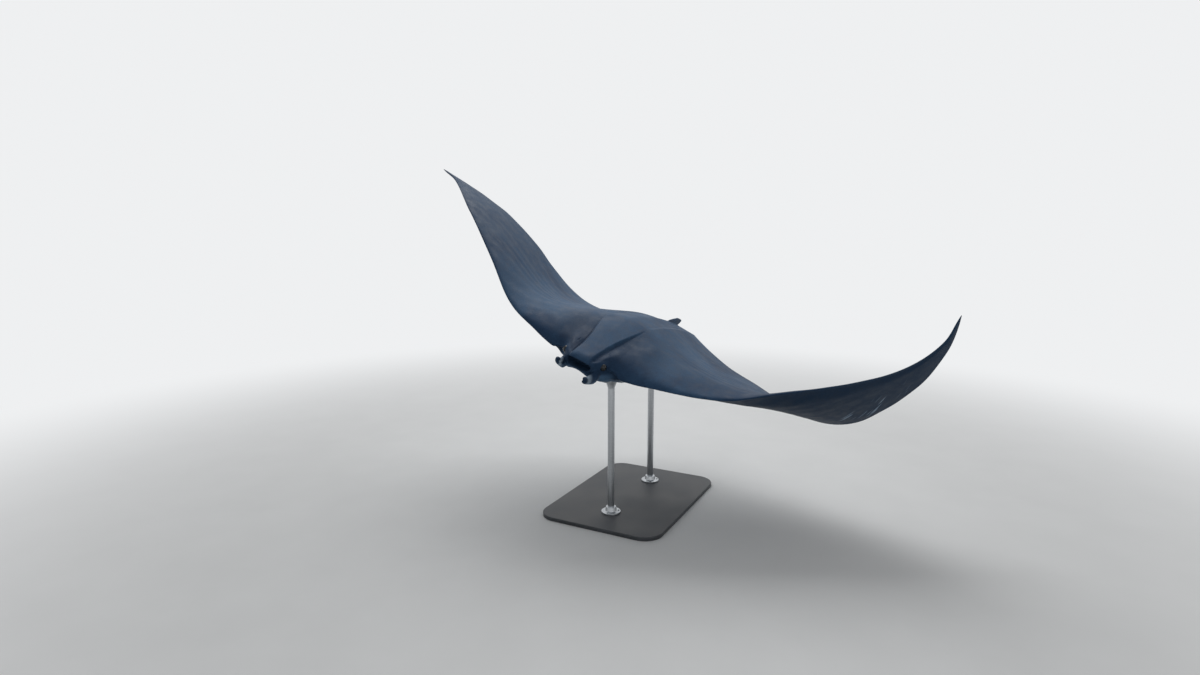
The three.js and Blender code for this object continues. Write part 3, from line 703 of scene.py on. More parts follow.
def tail_rings():
    t = shares(TAIL_RINGS)
    droop = mix(*TAIL_DROOP, ease(t, 0, 1))
    sway = mix(*TAIL_SWAY, t)
    along = np.stack(
        [np.sin(sway) * np.cos(droop), np.cos(sway) * np.cos(droop), -np.sin(droop)], -1)
    side = np.stack([np.cos(sway), -np.sin(sway), 0 * t], -1)
    tall = np.cross(side, along)
    moved = np.vstack([np.zeros(3), np.cumsum(along[:-1] * TAIL_LENGTH / TAIL_RINGS, 0)])
    center = np.array([0, TAIL_START, 0.002]) + moved
    radius = mix(TAIL_RADIUS, TAIL_END_RADIUS, 1 - (1 - t) ** 1.6)
    radius = radius * np.sqrt(np.clip((1 - t) / 0.004, 0.02, 1))
    angle = angles_round(TAIL_SIDES)
    width = radius[:, None, None] * np.cos(angle)[None, :, None] * side[:, None, :]
    height = 0.85 * radius[:, None, None] * np.sin(angle)[None, :, None] * tall[:, None, :]
    return center[:, None, :] + width + height


tail = add_tube("tail_blank", tail_rings())
print("tail:", TAIL_LENGTH, "m long")

# %% [markdown]
# ## Growing the pieces together
# Flesh has no seams. A voxel remesh would join the pieces too, but it would blur every slit and
# fold. So the fins and tail are joined to the disc with boolean unions, and the mouth and eye
# sockets are cut the same way. A boolean leaves a hard line. On an animal that line is a soft
# fillet, so the points near each new edge are relaxed toward their neighbours, over a reach
# chosen for each joint.

# %% Soften an edge
SOFTEN_PULL = 0.6


def read_points(mesh):
    flat = np.empty(len(mesh.vertices) * 3)
    mesh.vertices.foreach_get("co", flat)
    return flat.reshape(-1, 3)


def tree_of(points):
    """A search tree that finds the nearest of the points."""
    tree = KDTree(len(points))
    for i, point in enumerate(points):
        tree.insert(point, i)
    tree.balance()
    return tree


def neighbours_mean(points, edges, active):
    """The mean of the points that each active point shares an edge with."""
    total = np.zeros_like(points)
    count = np.zeros(len(points))
    touched = edges[active[edges].any(1)]
    for a, b in ((0, 1), (1, 0)):
        for k in range(3):
            total[:, k] += np.bincount(touched[:, a], points[touched[:, b], k], len(points))
        count += np.bincount(touched[:, a], minlength=len(points))
    return total / np.maximum(count, 1)[:, None]


def soften(mesh, edge_points, reach, rounds):
    """Relaxes the points within reach of the given edge points."""
    tree = tree_of(edge_points)
    points = read_points(mesh)
    low, high = edge_points.min(0) - reach, edge_points.max(0) + reach
    close = np.nonzero(((points > low) & (points < high)).all(1))[0]
    weight = np.zeros(len(points))
    for i in close:
        weight[i] = 1 - ease(tree.find(points[i])[2], 0, reach)
    edges = np.empty(len(mesh.edges) * 2, int)
    mesh.edges.foreach_get("vertices", edges)
    edges = edges.reshape(-1, 2)
    active = weight > 0
    for _ in range(rounds):
        mean = neighbours_mean(points, edges, active)
        points[active] += (SOFTEN_PULL * weight[:, None] * (mean - points))[active]
    mesh.vertices.foreach_set("co", points.ravel())
    mesh.update()


print("each round moves a point", SOFTEN_PULL, "of the way to its neighbours' mean")

# %% Join and cut
SAME_POINT = 1e-5         # a point farther than this from every old one is new


def carve(piece, tool, operation):
    """Joins a tool to a piece, or cuts it away, and leaves the tool as it is."""
    modifier = piece.modifiers.new("joint", "BOOLEAN")
    modifier.operation, modifier.object, modifier.solver = operation, tool, "MANIFOLD"
    evaluated = piece.evaluated_get(bpy.context.evaluated_depsgraph_get())
    mesh = bpy.data.meshes.new_from_object(evaluated)
    piece.modifiers.clear()
    piece.data = mesh


def combine(base, tool, operation, reach, rounds):
    """Joins a tool to a base or cuts it away, softens the new edge and removes the tool."""
    tree = tree_of([vertex.co for vertex in [*base.data.vertices, *tool.data.vertices]])
    carve(base, tool, operation)
    points = base.data.vertices
    edge_points = np.array([v.co for v in points if tree.find(v.co)[2] > SAME_POINT])
    soften(base.data, edge_points, reach, rounds)
    bpy.data.objects.remove(tool)
    print(operation.lower(), len(edge_points), "edge points,", len(points), "points")


# %% Mouth and eye sockets
MOUTH_HALF_WIDTH = 0.082
MOUTH_HALF_HEIGHT = 0.026
MOUTH_DEPTH = 0.088
MOUTH_DROP = 0.007        # below the middle surface
SOCKET_RADIUS = EYE_RADIUS + 0.0003


def ball_rings(center, radii, rings=36, sides=48, power=1.0):
    """An ellipsoid as fore-and-aft rings. A power under 1 makes its outline more square."""
    polar = np.pi * shares(rings)[1:-1, None]
    angle = angles_round(sides)[None, :]
    wide = np.sign(np.cos(angle)) * np.abs(np.cos(angle)) ** power
    tall = np.sign(np.sin(angle)) * np.abs(np.sin(angle)) ** power
    girth = np.sin(polar) ** power
    length = -np.cos(polar) * np.ones_like(angle)
    return np.asarray(center) + np.stack([girth * wide, length, girth * tall], -1) * radii


mouth_center = np.array([0, 0, -MOUTH_DROP])
mouth_radii = (MOUTH_HALF_WIDTH, MOUTH_DEPTH, MOUTH_HALF_HEIGHT)
mouth_blank = add_tube("mouth_blank", ball_rings(mouth_center, mouth_radii, 48, 96, 0.72))
combine(skin, mouth_blank, "DIFFERENCE", reach=0.014, rounds=12)
for side in (LEFT, RIGHT):
    combine(skin, horns[side], "UNION", reach=0.024, rounds=26)
for side in (LEFT, RIGHT):
    socket = add_tube("socket_blank", ball_rings(eye_center(side), (SOCKET_RADIUS,) * 3))
    combine(skin, socket, "DIFFERENCE", reach=0.004, rounds=4)

# %% Tail, dorsal fin and pelvic fins
for fin in pelvic_fins:
    combine(skin, fin, "UNION", reach=0.008, rounds=6)
combine(skin, tail, "UNION", reach=0.012, rounds=8)
combine(skin, dorsal_fin, "UNION", reach=0.014, rounds=12)

skin.data.name = "skin"
shade_smooth(skin.data)
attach(skin, "root")
FLESH = ["head", "trunk", "wing_left_inner", "wing_left_outer", "wing_right_inner",
         "wing_right_outer", "cephalic_fin_left", "cephalic_fin_right", "tail_base",
         "tail_middle", "tail_tip", "dorsal_fin", "pelvic_fin_left", "pelvic_fin_right"]
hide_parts(*FLESH)
print("skin:", len(skin.data.vertices), "points,", len(skin.data.polygons), "faces")

# %% [markdown]
# ## Remembering the flat place of each point
# The markings belong to places on the animal. An image wrapped round it could hold them, but
# it would stretch at the tips, so they are worked out from each point's flat place. The
# booleans made new points, so the finished skin looks its marks up again: each point takes
# those of the nearest point of the shapes it was joined from. Three small vectors are kept on
# the mesh. "flat" is the place across and behind the head's front, and 0 above to 1 below.
# "rim" is the distance from the front edge, from the rear edge, and along the wing. "lobe"
# tells how far out on a cephalic fin a point is, how deep in its groove, and whether it is
# inside the mouth. Two plain numbers are kept as well. The flank number is 1 on the side of the
# head beyond its fold and fades out over the shoulder. It carries the darker skin there and
# the painted shade of that steep slope. "slit" is 1 deep in a gill slit or a spiracle, where
# painted shade goes.

# %% Marks of the disc, the cephalic fins and the tail
def stack(*values):
    """One vector for each point, from values that are spread out to the same shape."""
    return np.stack(np.broadcast_arrays(*values), -1).reshape(-1, 3)


def body_marks(rings, under):
    """Marks of a fin or the tail: it counts as plain skin far from any edge."""
    nothing = 0 * rings[..., 0]
    flat = stack(rings[..., 0], rings[..., 1], under)
    return flat, stack(0.3, 0.3 + nothing, 0), stack(nothing, 0, 0)


from_rear = from_front[:, -1:] - from_front
sources = [(disc, stack(across, back, under), stack(from_front, from_rear, spans),
            stack(0 * across, 0, 0))]
groove_share = bell(HORN_ANGLES, np.pi, 1.2)
horn_under = 0.5 - 0.5 * np.sin(HORN_ANGLES)
for side in (LEFT, RIGHT):
    rings = horn_rings(side)
    flat, _, _ = body_marks(rings, horn_under)
    near_front = stack(0.02, 0.3 + 0 * rings[..., 0], 0)
    sources.append((rings, flat, near_front, stack(HORN_SHARES[:, None], groove_share, 0)))
for rings in (tail_rings(), dorsal_rings()):
    sources.append((rings, *body_marks(rings, 0)))
blade_under = np.arange(2 * len(BLADE_SHARES) - 1) >= len(BLADE_SHARES)
for side in (LEFT, RIGHT):
    sources.append((pelvic_rings(side), *body_marks(pelvic_rings(side), blade_under)))
print("marks from", len(sources), "shapes")


# %% Look the marks up for each point of the skin
def keep_on_mesh(mesh, name, values):
    """Stores one number or one vector for each point of a mesh."""
    if values.ndim == 1:
        layer = mesh.attributes.new(name, "FLOAT", "POINT")
        layer.data.foreach_set("value", values.astype(np.float32))
    else:
        layer = mesh.attributes.new(name, "FLOAT_VECTOR", "POINT")
        layer.data.foreach_set("vector", values.astype(np.float32).ravel())


source_rings, *source_marks = zip(*sources)
tree = tree_of(stand_up(np.vstack([rings.reshape(-1, 3) for rings in source_rings])))
skin_points = read_points(skin.data)
nearest = np.array([tree.find(point)[1] for point in skin_points])
flat, rim, lobe = (np.vstack(marks)[nearest] for marks in source_marks)

level = lie_level(skin_points)
mouth_reach = np.linalg.norm((level - mouth_center) / mouth_radii, axis=1)
lobe[:, 2] = (1 - ease(mouth_reach, 1.12, 1.30)) * mix(0.45, 1, ease(level[:, 1], 0, 0.06))
keep_on_mesh(skin.data, "flat", flat)
keep_on_mesh(skin.data, "rim", rim)
keep_on_mesh(skin.data, "lobe", lobe)
print("marks on", len(nearest), "points")

# %% Dark skin and painted shade of the flank, painted shade in slits and spiracles
out, behind, below = flat.T
beyond_fold = np.abs(out) - fold_line(behind)
# Beyond the fold the skin is darker, and painted shade is added for its steep slope.
flank = ease(beyond_fold, 0.000, 0.012) * (1 - ease(beyond_fold, 0.10, 0.34))
flank = flank * (1 - ease(behind, 0.28, 0.60)) * (1 - below)
# Painted shade deep inside the gill slits and spiracles.
gill = ease(-gill_slits(out, behind), 0.004, 0.011) * ease(below, 0.5, 1)
slit = np.maximum(gill, ease(-spiracle(out, behind), 0.001, 0.004) * (1 - below))
keep_on_mesh(skin.data, "flank", flank)
keep_on_mesh(skin.data, "slit", slit)
print("flank on", np.count_nonzero(flank), "points, slits on", np.count_nonzero(slit))

# %% [markdown]
# ## Eyes
# A manta's eye is a dark ball low on the side of the head, with a black pupil and a narrow
# smoky iris behind a clear, wet cornea. A clear shell over a painted disc would be closer to
# life, but at this size nothing shows behind the gloss, so each is one ball that bulges at the
# cornea. It keeps the angle from its own axis, and the pupil and iris are painted from that.

# %% Eyeballs
CORNEA_BULGE = 0.0010     # how much farther out the cornea is than the ball
EYE_RINGS, EYE_SIDES = 56, 72


def eye_rings(side):
    axis = eye_axis(side)
    flat_across = unit(np.cross(axis, [0, 0, 1]))
    upward = np.cross(flat_across, axis)
    angle = np.pi * shares(EYE_RINGS)[1:-1, None] ** 1.3
    turn = angles_round(EYE_SIDES)[None, :]
    radius = EYE_RADIUS + CORNEA_BULGE * (1 - ease(angle, 0.30, 0.62))
    spoke = np.cos(turn)[..., None] * flat_across + np.sin(turn)[..., None] * upward
    direction = np.cos(angle)[..., None] * axis + np.sin(angle)[..., None] * spoke
    return eye_center(side) + radius[..., None] * direction, angle


for name, side in (("left", LEFT), ("right", RIGHT)):
    rings, angle = eye_rings(side)
    eye = add_tube(f"eyeball_{name}", rings)
    gaze = np.concatenate([np.repeat(angle.ravel(), EYE_SIDES), [0, np.pi]])
    keep_on_mesh(eye.data, "gaze", gaze)
    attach(eye, "root")
    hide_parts(f"eye_{name}")
print("eyes", 2 * EYE_RADIUS * 1000, "mm across")

# %% [markdown]
# ## The display stand
# A museum carries such a model on turned steel rods that rise from a heavy flat plate. Each
# rod ends in a cup shaped to the belly, with a thin black pad between, and stands in a flanged
# collar held by three socket screws. Plain cylinders with a bevel modifier would do for the
# rods, but not for the cups and collars, so each turned part is a loft of circles along a
# profile, as on a lathe. Every corner has a small radius, because a real edge always catches
# a line of light. The sizes come from the frame's boxes.

# %% Sizes of the stand, from the frame
STAND_ENDS = ("front", "rear")
base_low, base_high = np.round(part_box("stand_base"), 4)
collar_boxes = {end: np.round(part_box(f"stand_collar_{end}"), 4) for end in STAND_ENDS}
collar_low, collar_high = collar_boxes["front"]
COLLAR_RADIUS = 0.5 * (collar_high - collar_low)[1]
COLLAR_HEIGHT = (collar_high - collar_low)[2]
ROD_FOOT = collar_low[2]
BASE_THICKNESS = base_high[2]
BASE_WIDTH, BASE_LENGTH = (base_high - base_low)[:2]
print("collars:", round(2 * COLLAR_RADIUS, 3), "m across, foot at", ROD_FOOT, "m")

# %% Turned parts
TURNED_SIDES = 96
ROD_RADIUS = 0.021
CUP_RADIUS = 0.046
PAD_LIP = 0.0022          # how far a belly pad stands out round its cup
ABOVE_BELLY = 0.020       # how far cups and pads run into the belly before they are cut
AXIS = 0.001              # a profile starts this close to its axis, so that its fan is small
FLANGE_TOP = 0.009        # the collar's flange, above its foot


def rounded(profile, radius, steps=4):
    """A profile of (radius, height) pairs with its corners rounded off."""
    corners = np.asarray(profile, float)
    points = [corners[0]]
    for before, here, after in zip(corners, corners[1:], corners[2:]):
        back_way, onward = before - here, after - here
        reach = min(radius, 0.45 * np.linalg.norm(back_way), 0.45 * np.linalg.norm(onward))
        start, end = here + reach * unit(back_way), here + reach * unit(onward)
        t = shares(steps)[:, None]
        points.extend(mix(mix(start, here, t), mix(here, end, t), t))
    return np.array([*points, corners[-1]])


def circle(count):
    """Points of a circle of radius 1 in the flat."""
    angle = angles_round(count)
    return np.stack([np.cos(angle), np.sin(angle)], -1)


def turned(name, profile, x, y, radius=0.0012):
    """A profile turned round an upright axis, with the radius on its corners."""
    outline = rounded(profile, radius)
    rings = np.empty((len(outline), TURNED_SIDES, 3))
    rings[..., :2] = [x, y] + outline[:, :1, None] * circle(TURNED_SIDES)
    rings[..., 2] = outline[:, 1:]
    return add_tube(name, rings, place=np.asarray)


def rod_profile(belly):
    """A straight shaft that flares into a cup under the belly."""
    shaft = [(AXIS, ROD_FOOT), (ROD_RADIUS, ROD_FOOT), (ROD_RADIUS, belly - 0.080)]
    cup = [(ROD_RADIUS + 0.006, belly - 0.060), (CUP_RADIUS, belly - 0.022)]
    return [*shaft, *cup, (CUP_RADIUS, belly + ABOVE_BELLY), (AXIS, belly + ABOVE_BELLY)]


def pad_profile(belly):
    radius, low, high = CUP_RADIUS + PAD_LIP, belly - 0.0215, belly + ABOVE_BELLY
    return [(AXIS, low), (radius, low), (radius, high), (AXIS, high)]


def collar_profile():
    """A wide flange with a shallow cone up to its narrow neck."""
    top = ROD_FOOT + COLLAR_HEIGHT
    flange = [(COLLAR_RADIUS, ROD_FOOT), (COLLAR_RADIUS, ROD_FOOT + FLANGE_TOP)]
    return [(AXIS, ROD_FOOT), *flange, (0.036, ROD_FOOT + 0.012), (0.032, top), (AXIS, top)]


print("rods", 2 * ROD_RADIUS, "m thick, cups", 2 * CUP_RADIUS, "m across")

# %% Rods, belly pads and collars
stand = {}
for end, (low, high) in collar_boxes.items():
    x, y = 0.5 * (low + high)[:2]
    back_share = (y + BODY_CENTRE_BACK) / DISC_LENGTH
    belly = PLACE_ON_STAND[2] + float(skin_height(np.array(0.0), np.array(back_share), -1))
    rod = turned(f"stand_rod_steel_{end}", rod_profile(belly), x, y, 0.006)
    pad = turned(f"belly_pad_{end}", pad_profile(belly), x, y)
    carve(rod, skin, "DIFFERENCE")
    carve(pad, skin, "DIFFERENCE")
    collar = turned(f"stand_collar_steel_{end}", collar_profile(), x, y)
    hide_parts(f"stand_rod_{end}")
    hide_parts(f"stand_collar_{end}")
    stand[end] = (rod, pad, collar)
    for piece in stand[end]:
        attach(piece, "root")
    print("rod", end, "reaches", round(belly, 3), "m")

# %% Socket screws on the collars
SCREWS_A_COLLAR = 3
SCREW_RING = 0.048        # distance of the screws from the rod's axis
SCREW_RADIUS = 0.0055
SCREW_HEIGHT = 0.0055
SOCKET_FLATS = 0.0026     # from the middle of the socket to each of its six sides
SCREW_SIDES = 48


def screw_rings(x, y, z):
    """A low round head with a six-sided socket sunk into it."""
    hexagon = SOCKET_FLATS / np.cos(np.mod(angles_round(SCREW_SIDES), np.pi / 3) - np.pi / 6)
    top = z + SCREW_HEIGHT
    rows = [(SCREW_RADIUS, z), (SCREW_RADIUS, top - 0.0012), (SCREW_RADIUS - 0.0004, top - 0.0004),
            (SCREW_RADIUS - 0.0012, top), (hexagon + 0.0002, top), (hexagon, top - 0.0002),
            (hexagon, top - 0.003)]
    rings = np.empty((len(rows), SCREW_SIDES, 3))
    for ring, (radius, height) in zip(rings, rows):
        ring[:, :2] = [x, y] + np.reshape(radius + 0 * hexagon, (-1, 1)) * circle(SCREW_SIDES)
        ring[:, 2] = height
    return rings


screws = []
for end, (low, high) in collar_boxes.items():
    x, y = 0.5 * (low + high)[:2]
    for k in range(SCREWS_A_COLLAR):
        angle = 2 * np.pi * k / SCREWS_A_COLLAR + 0.5
        screw_x, screw_y = x + SCREW_RING * np.cos(angle), y + SCREW_RING * np.sin(angle)
        rings = screw_rings(screw_x, screw_y, ROD_FOOT + FLANGE_TOP)
        screws.append(add_tube(f"collar_screw_{end}_{k + 1}", rings, np.asarray))
        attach(screws[-1], "root")
print(len(screws), "socket screws")

# %% Base plate
BASE_CORNER = 0.120
BASE_EDGE = 0.004         # radius along the upper edge
CORNER_STEPS, EDGE_STEPS = 20, 6


def plate_outline(inset):
    """Rounded rectangle, drawn in by an inset."""
    radius = BASE_CORNER - inset
    points = []
    for quarter, (sx, sy) in enumerate(((1, 1), (-1, 1), (-1, -1), (1, -1))):
        angle = np.pi / 2 * (quarter + shares(CORNER_STEPS))
        x = sx * (0.5 * BASE_WIDTH - BASE_CORNER) + radius * np.cos(angle)
        y = sy * (0.5 * BASE_LENGTH - BASE_CORNER) + radius * np.sin(angle)
        points.append(np.stack([x, y], -1))
    return np.vstack(points)


rows = [(0.012, 0), (0.0015, 0), (0.0003, 0.0006), (0, 0.0015)]
for turn in 0.5 * np.pi * shares(EDGE_STEPS):
    rows.append((BASE_EDGE * (1 - np.cos(turn)), BASE_THICKNESS - BASE_EDGE * (1 - np.sin(turn))))
rows += [(BASE_EDGE + 0.0015, BASE_THICKNESS), (0.030, BASE_THICKNESS)]
plate_rings = [np.column_stack([plate_outline(inset), np.full(4 * CORNER_STEPS + 4, height)])
               for inset, height in rows]
base = add_tube("stand_base_plate", np.array(plate_rings), np.asarray)
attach(base, "root")
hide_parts("stand_base")
print("base plate", BASE_WIDTH, "by", BASE_LENGTH, "m")

# %% [markdown]
# ## Finishes
# Each finish is a small tree of shader nodes. Colours are written as the hex values of a
# paint chart and turned to linear light by one function, and one helper adds a node, sets it
# and links it. A painter builds a finish in thin coats, each kept inside soft borders, and the
# last helper does that with nodes: a chain of Map Range nodes, where each one fades the
# strength that the one before it gave. Patterns are sized in real units: coordinates are
# metres, so a noise of scale 1000 / 24 makes marks about 24 mm across.

# %% Colour, node and coat helpers
def linear(hex_colour):
    """An sRGB hex colour as linear RGBA."""
    srgb = np.array([int(hex_colour[i:i + 2], 16) / 255 for i in (1, 3, 5)])
    light = np.where(srgb <= 0.04045, srgb / 12.92, ((srgb + 0.055) / 1.055) ** 2.4)
    return (*light.tolist(), 1.0)


def per_metre(millimetres):
    """The noise scale of a pattern of this size."""
    return 1000 / millimetres


def add_node(tree, kind, inputs=None, **settings):
    """Adds a node. Inputs are numbers, colours, other nodes (first output) or sockets."""
    node = tree.nodes.new("ShaderNode" + kind)
    for name, value in settings.items():
        setattr(node, name, value)
    for key, value in (inputs or {}).items():
        if isinstance(value, bpy.types.Node):
            value = value.outputs[0]
        if isinstance(value, bpy.types.NodeSocket):
            tree.links.new(value, node.inputs[key])
        else:
            node.inputs[key].default_value = value
    return node


def new_finish(name):
    """An empty material, and add_node made ready for its node tree."""
    material = bpy.data.materials.new(name)
    material.use_nodes = True
    material.node_tree.nodes.clear()
    return material, partial(add_node, material.node_tree)


def coat(add, under, paint, strength, *borders):
    """One coat of paint over another colour. It is kept inside every border: a value, where
    the coat starts, and where it has its full strength."""
    for value, start, full in borders:
        inputs = {"Value": value, "From Min": start, "From Max": full, "To Max": strength}
        strength = add("MapRange", inputs, interpolation_type="SMOOTHSTEP")
    return add("Mix", {0: strength, 6: under, 7: paint}, data_type="RGBA").outputs[2]


print("slate blue in linear light:", np.round(linear("#324b65"), 3).tolist())

# %% [markdown]
# ## Manta skin
# Manta skin is slate blue-black above, covered with tiny tooth-like scales under a film of
# mucus. To the eye it is dark, finely mottled and softly wet, not shiny. Its sheen is tinted a
# little blue, a painted reflection of blue water. Below, the belly is white with dark spots, and
# it darkens toward the jaw, the front edge and the outer wings. A model maker airbrushes these
# zones one over another, with soft and slightly ragged borders. The coats below go on in that
# order, and noise shifts every border. Painted shade is laid on the steep flanks of the head and
# inside the gill slits and spiracles.

# %% Skin colours and sizes
BACK_SLATE = linear("#324b65")
BACK_DEEP = linear("#182e47")
BACK_PALE = linear("#4c6782")
WING_DARK = linear("#15293e")
# Flank colour: partly the skin's own dark, partly painted shade of the steep flank.
FLANK_DARK_AND_SHADE = linear("#0e2036")
JAW_BLUE = linear("#45607b")
BELLY_WHITE = linear("#cdd4d8")
BELLY_GREY = linear("#66778a")
# Dark of the belly spots, also used as painted shade inside the slits.
SPOT_AND_SLIT_SHADE_DARK = linear("#1d2530")
PALE_STREAK = linear("#8ba0b4")
LOBE_PALE = linear("#a3b4c3")
MOUTH_DARK = linear("#22344a")
# Blue tint of the highlights, a painted reflection of blue water.
BLUE_WATER_SHEEN = linear("#c4dcff")
CLOUD_MM, MOTTLE_MM, WRINKLE_MM, SPECK_MM, SCALE_MM, SPOT_MM = 380, 60, 22, 9, 4, 115
STREAK_LONG_MM, STREAK_WIDE_MM = 200, 15.625
STREAK_ANGLE = 0.72                  # radians from the midline, along the wing's rays
BELLY_BACK = 0.78                     # middle of the white oval
BELLY_HALF_WIDTH, BELLY_HALF_LENGTH = 0.66, 0.64
SPOTTED_SHARE = 0.38                  # share of the cells that hold a spot
SKIN_ROUGHNESS = 0.62
SKIN_IOR = 1.38                       # about that of any wet tissue
FLANK_DARK_AND_SHADE_SHARE = 0.80
print("skin patterns from", SCALE_MM, "to", CLOUD_MM, "mm")


# %% Coats of the back
def skin_marks(add):
    """Sockets for what the mesh remembers, and the noises that every zone shares."""
    place = add("TexCoord").outputs["Object"]
    marks = {"place": place}
    for name, axes in (("flat", ("across", "back", "under")),
                       ("rim", ("front", "rear", "span")),
                       ("lobe", ("along", "groove", "mouth"))):
        marks[name] = add("Attribute", attribute_name=name).outputs["Vector"]
        marks.update(zip(axes, add("SeparateXYZ", {0: marks[name]}).outputs))
    for name in ("flank", "slit"):
        marks[name] = add("Attribute", attribute_name=name).outputs["Fac"]
    for name, size, detail, roughness in (
            ("cloud", CLOUD_MM, 4, 0.55), ("mottle", MOTTLE_MM, 4, 0.62),
            ("wrinkle", WRINKLE_MM, 4, 0.60), ("speck", SPECK_MM, 2, 0.55)):
        marks[name] = add("TexNoise", {"Vector": place, "Scale": per_metre(size),
                                       "Detail": detail, "Roughness": roughness})
    marks["out"] = add("Math", {0: marks["across"]}, operation="ABSOLUTE")
    marks["waver"] = add("Math", {0: marks["cloud"], 1: 0.5}, operation="SUBTRACT")
    marks["ragged"] = add("Math", {0: marks["mottle"], 1: 0.5}, operation="SUBTRACT")
    return marks


def back_colour(add, marks):
    """Deep slate, paler clouds and shoulders, darker outer wings, dark flanks with painted shade.
    """
    out, waver = marks["out"], marks["waver"]
    clouds = add("Math", {0: marks["mottle"], 1: 0.35, 2: marks["cloud"]}, operation="MULTIPLY_ADD")
    behind = add("Math", {0: waver, 1: 0.12, 2: marks["front"]}, operation="MULTIPLY_ADD")
    outward = add("Math", {0: waver, 1: 0.3, 2: marks["span"]}, operation="MULTIPLY_ADD")
    colour = coat(add, BACK_DEEP, BACK_SLATE, 1, (clouds, 0.48, 0.86))
    colour = coat(add, colour, BACK_PALE, 0.30, (behind, 0.05, 0.16), (behind, 0.42, 0.20),
                  (out, 0.12, 0.22), (out, 0.80, 0.40))
    colour = coat(add, colour, WING_DARK, 0.75, (outward, 0.28, 0.78))
    # The flank coat: darker skin, deepened with painted shade of the steep slope.
    flank = add("Math", {0: marks["flank"], 1: FLANK_DARK_AND_SHADE_SHARE}, operation="MULTIPLY")
    return coat(add, colour, FLANK_DARK_AND_SHADE, flank)


skin_finish, add = new_finish("manta_skin")
marks = skin_marks(add)
above_coats = back_colour(add, marks)
print("nodes for the back:", len(skin_finish.node_tree.nodes))


# %% Coats of the underside
def belly_spots(add, marks):
    """Strength of the scattered dark blotches, and each one's ragged border."""
    cells = add("TexVoronoi", {"Vector": marks["flat"], "Scale": per_metre(SPOT_MM),
                               "Randomness": 0.72}, voronoi_dimensions="2D")
    draw = add("SeparateColor", {0: cells.outputs["Color"]})
    spotted = add("Math", {0: draw, 1: 1 - SPOTTED_SHARE}, operation="GREATER_THAN")
    strength = add("Math", {0: spotted, 1: 0.92}, operation="MULTIPLY")
    border = add("Math", {0: marks["ragged"], 1: 0.45, 2: cells.outputs["Distance"]},
                 operation="MULTIPLY_ADD")
    border = add("Math", {0: draw.outputs[1], 1: 0.12, 2: border}, operation="MULTIPLY_ADD")
    return strength, border


def pale_streaks(add, marks):
    """Long thin streaks, in line with the rays of the left wing."""
    turned_flat = add("VectorRotate", {"Vector": marks["flat"], "Angle": STREAK_ANGLE},
                      rotation_type="Z_AXIS")
    stretch = (per_metre(STREAK_LONG_MM), per_metre(STREAK_WIDE_MM), 1.0)
    drawn_out = add("VectorMath", {0: turned_flat, 1: stretch}, operation="MULTIPLY")
    return add("TexNoise", {"Vector": drawn_out, "Scale": 1.0, "Detail": 1.0})


def belly_colour(add, marks):
    """White oval, grey round it, dark wings, blue-grey jaw, dark spots and pale streaks."""
    across, rear, front = marks["across"], marks["rear"], marks["front"]
    centred = add("VectorMath", {0: marks["flat"], 1: (0, BELLY_BACK, 0)}, operation="SUBTRACT")
    scaled = add("VectorMath", {0: centred, 1: (1 / BELLY_HALF_WIDTH, 1 / BELLY_HALF_LENGTH, 0)},
                 operation="MULTIPLY")
    oval = add("VectorMath", {0: scaled, 1: scaled}, operation="DOT_PRODUCT").outputs["Value"]
    shift = add("Math", {0: marks["waver"], 1: 1.1}, operation="MULTIPLY")
    shift = add("Math", {0: marks["ragged"], 1: 0.30, 2: shift}, operation="MULTIPLY_ADD")
    distance = add("Math", {0: oval, 1: shift}, operation="ADD")
    behind = add("Math", {0: shift, 1: 0.2, 2: front}, operation="MULTIPLY_ADD")
    spot_strength, spot_border = belly_spots(add, marks)

    colour = coat(add, WING_DARK, BELLY_GREY, 0.75, (distance, 1.75, 0.75), (front, 0.03, 0.14))
    colour = coat(add, colour, BELLY_WHITE, 1, (distance, 1.05, 0.55), (behind, 0.05, 0.20))
    colour = coat(add, colour, JAW_BLUE, 0.8, (marks["span"], 0.105, 0.075), (front, 0.20, 0.05))
    colour = coat(add, colour, SPOT_AND_SLIT_SHADE_DARK, spot_strength, (spot_border, 0.28, 0.16),
                  (distance, 0.55, 0.35))
    return coat(add, colour, PALE_STREAK, 0.70, (pale_streaks(add, marks), 0.60, 0.70),
                (across, 1.08, 1.22), (across, 1.62, 1.50), (rear, 0.26, 0.14), (rear, 0.02, 0.05))


below_coats = belly_colour(add, marks)
print("nodes with the underside:", len(skin_finish.node_tree.nodes))


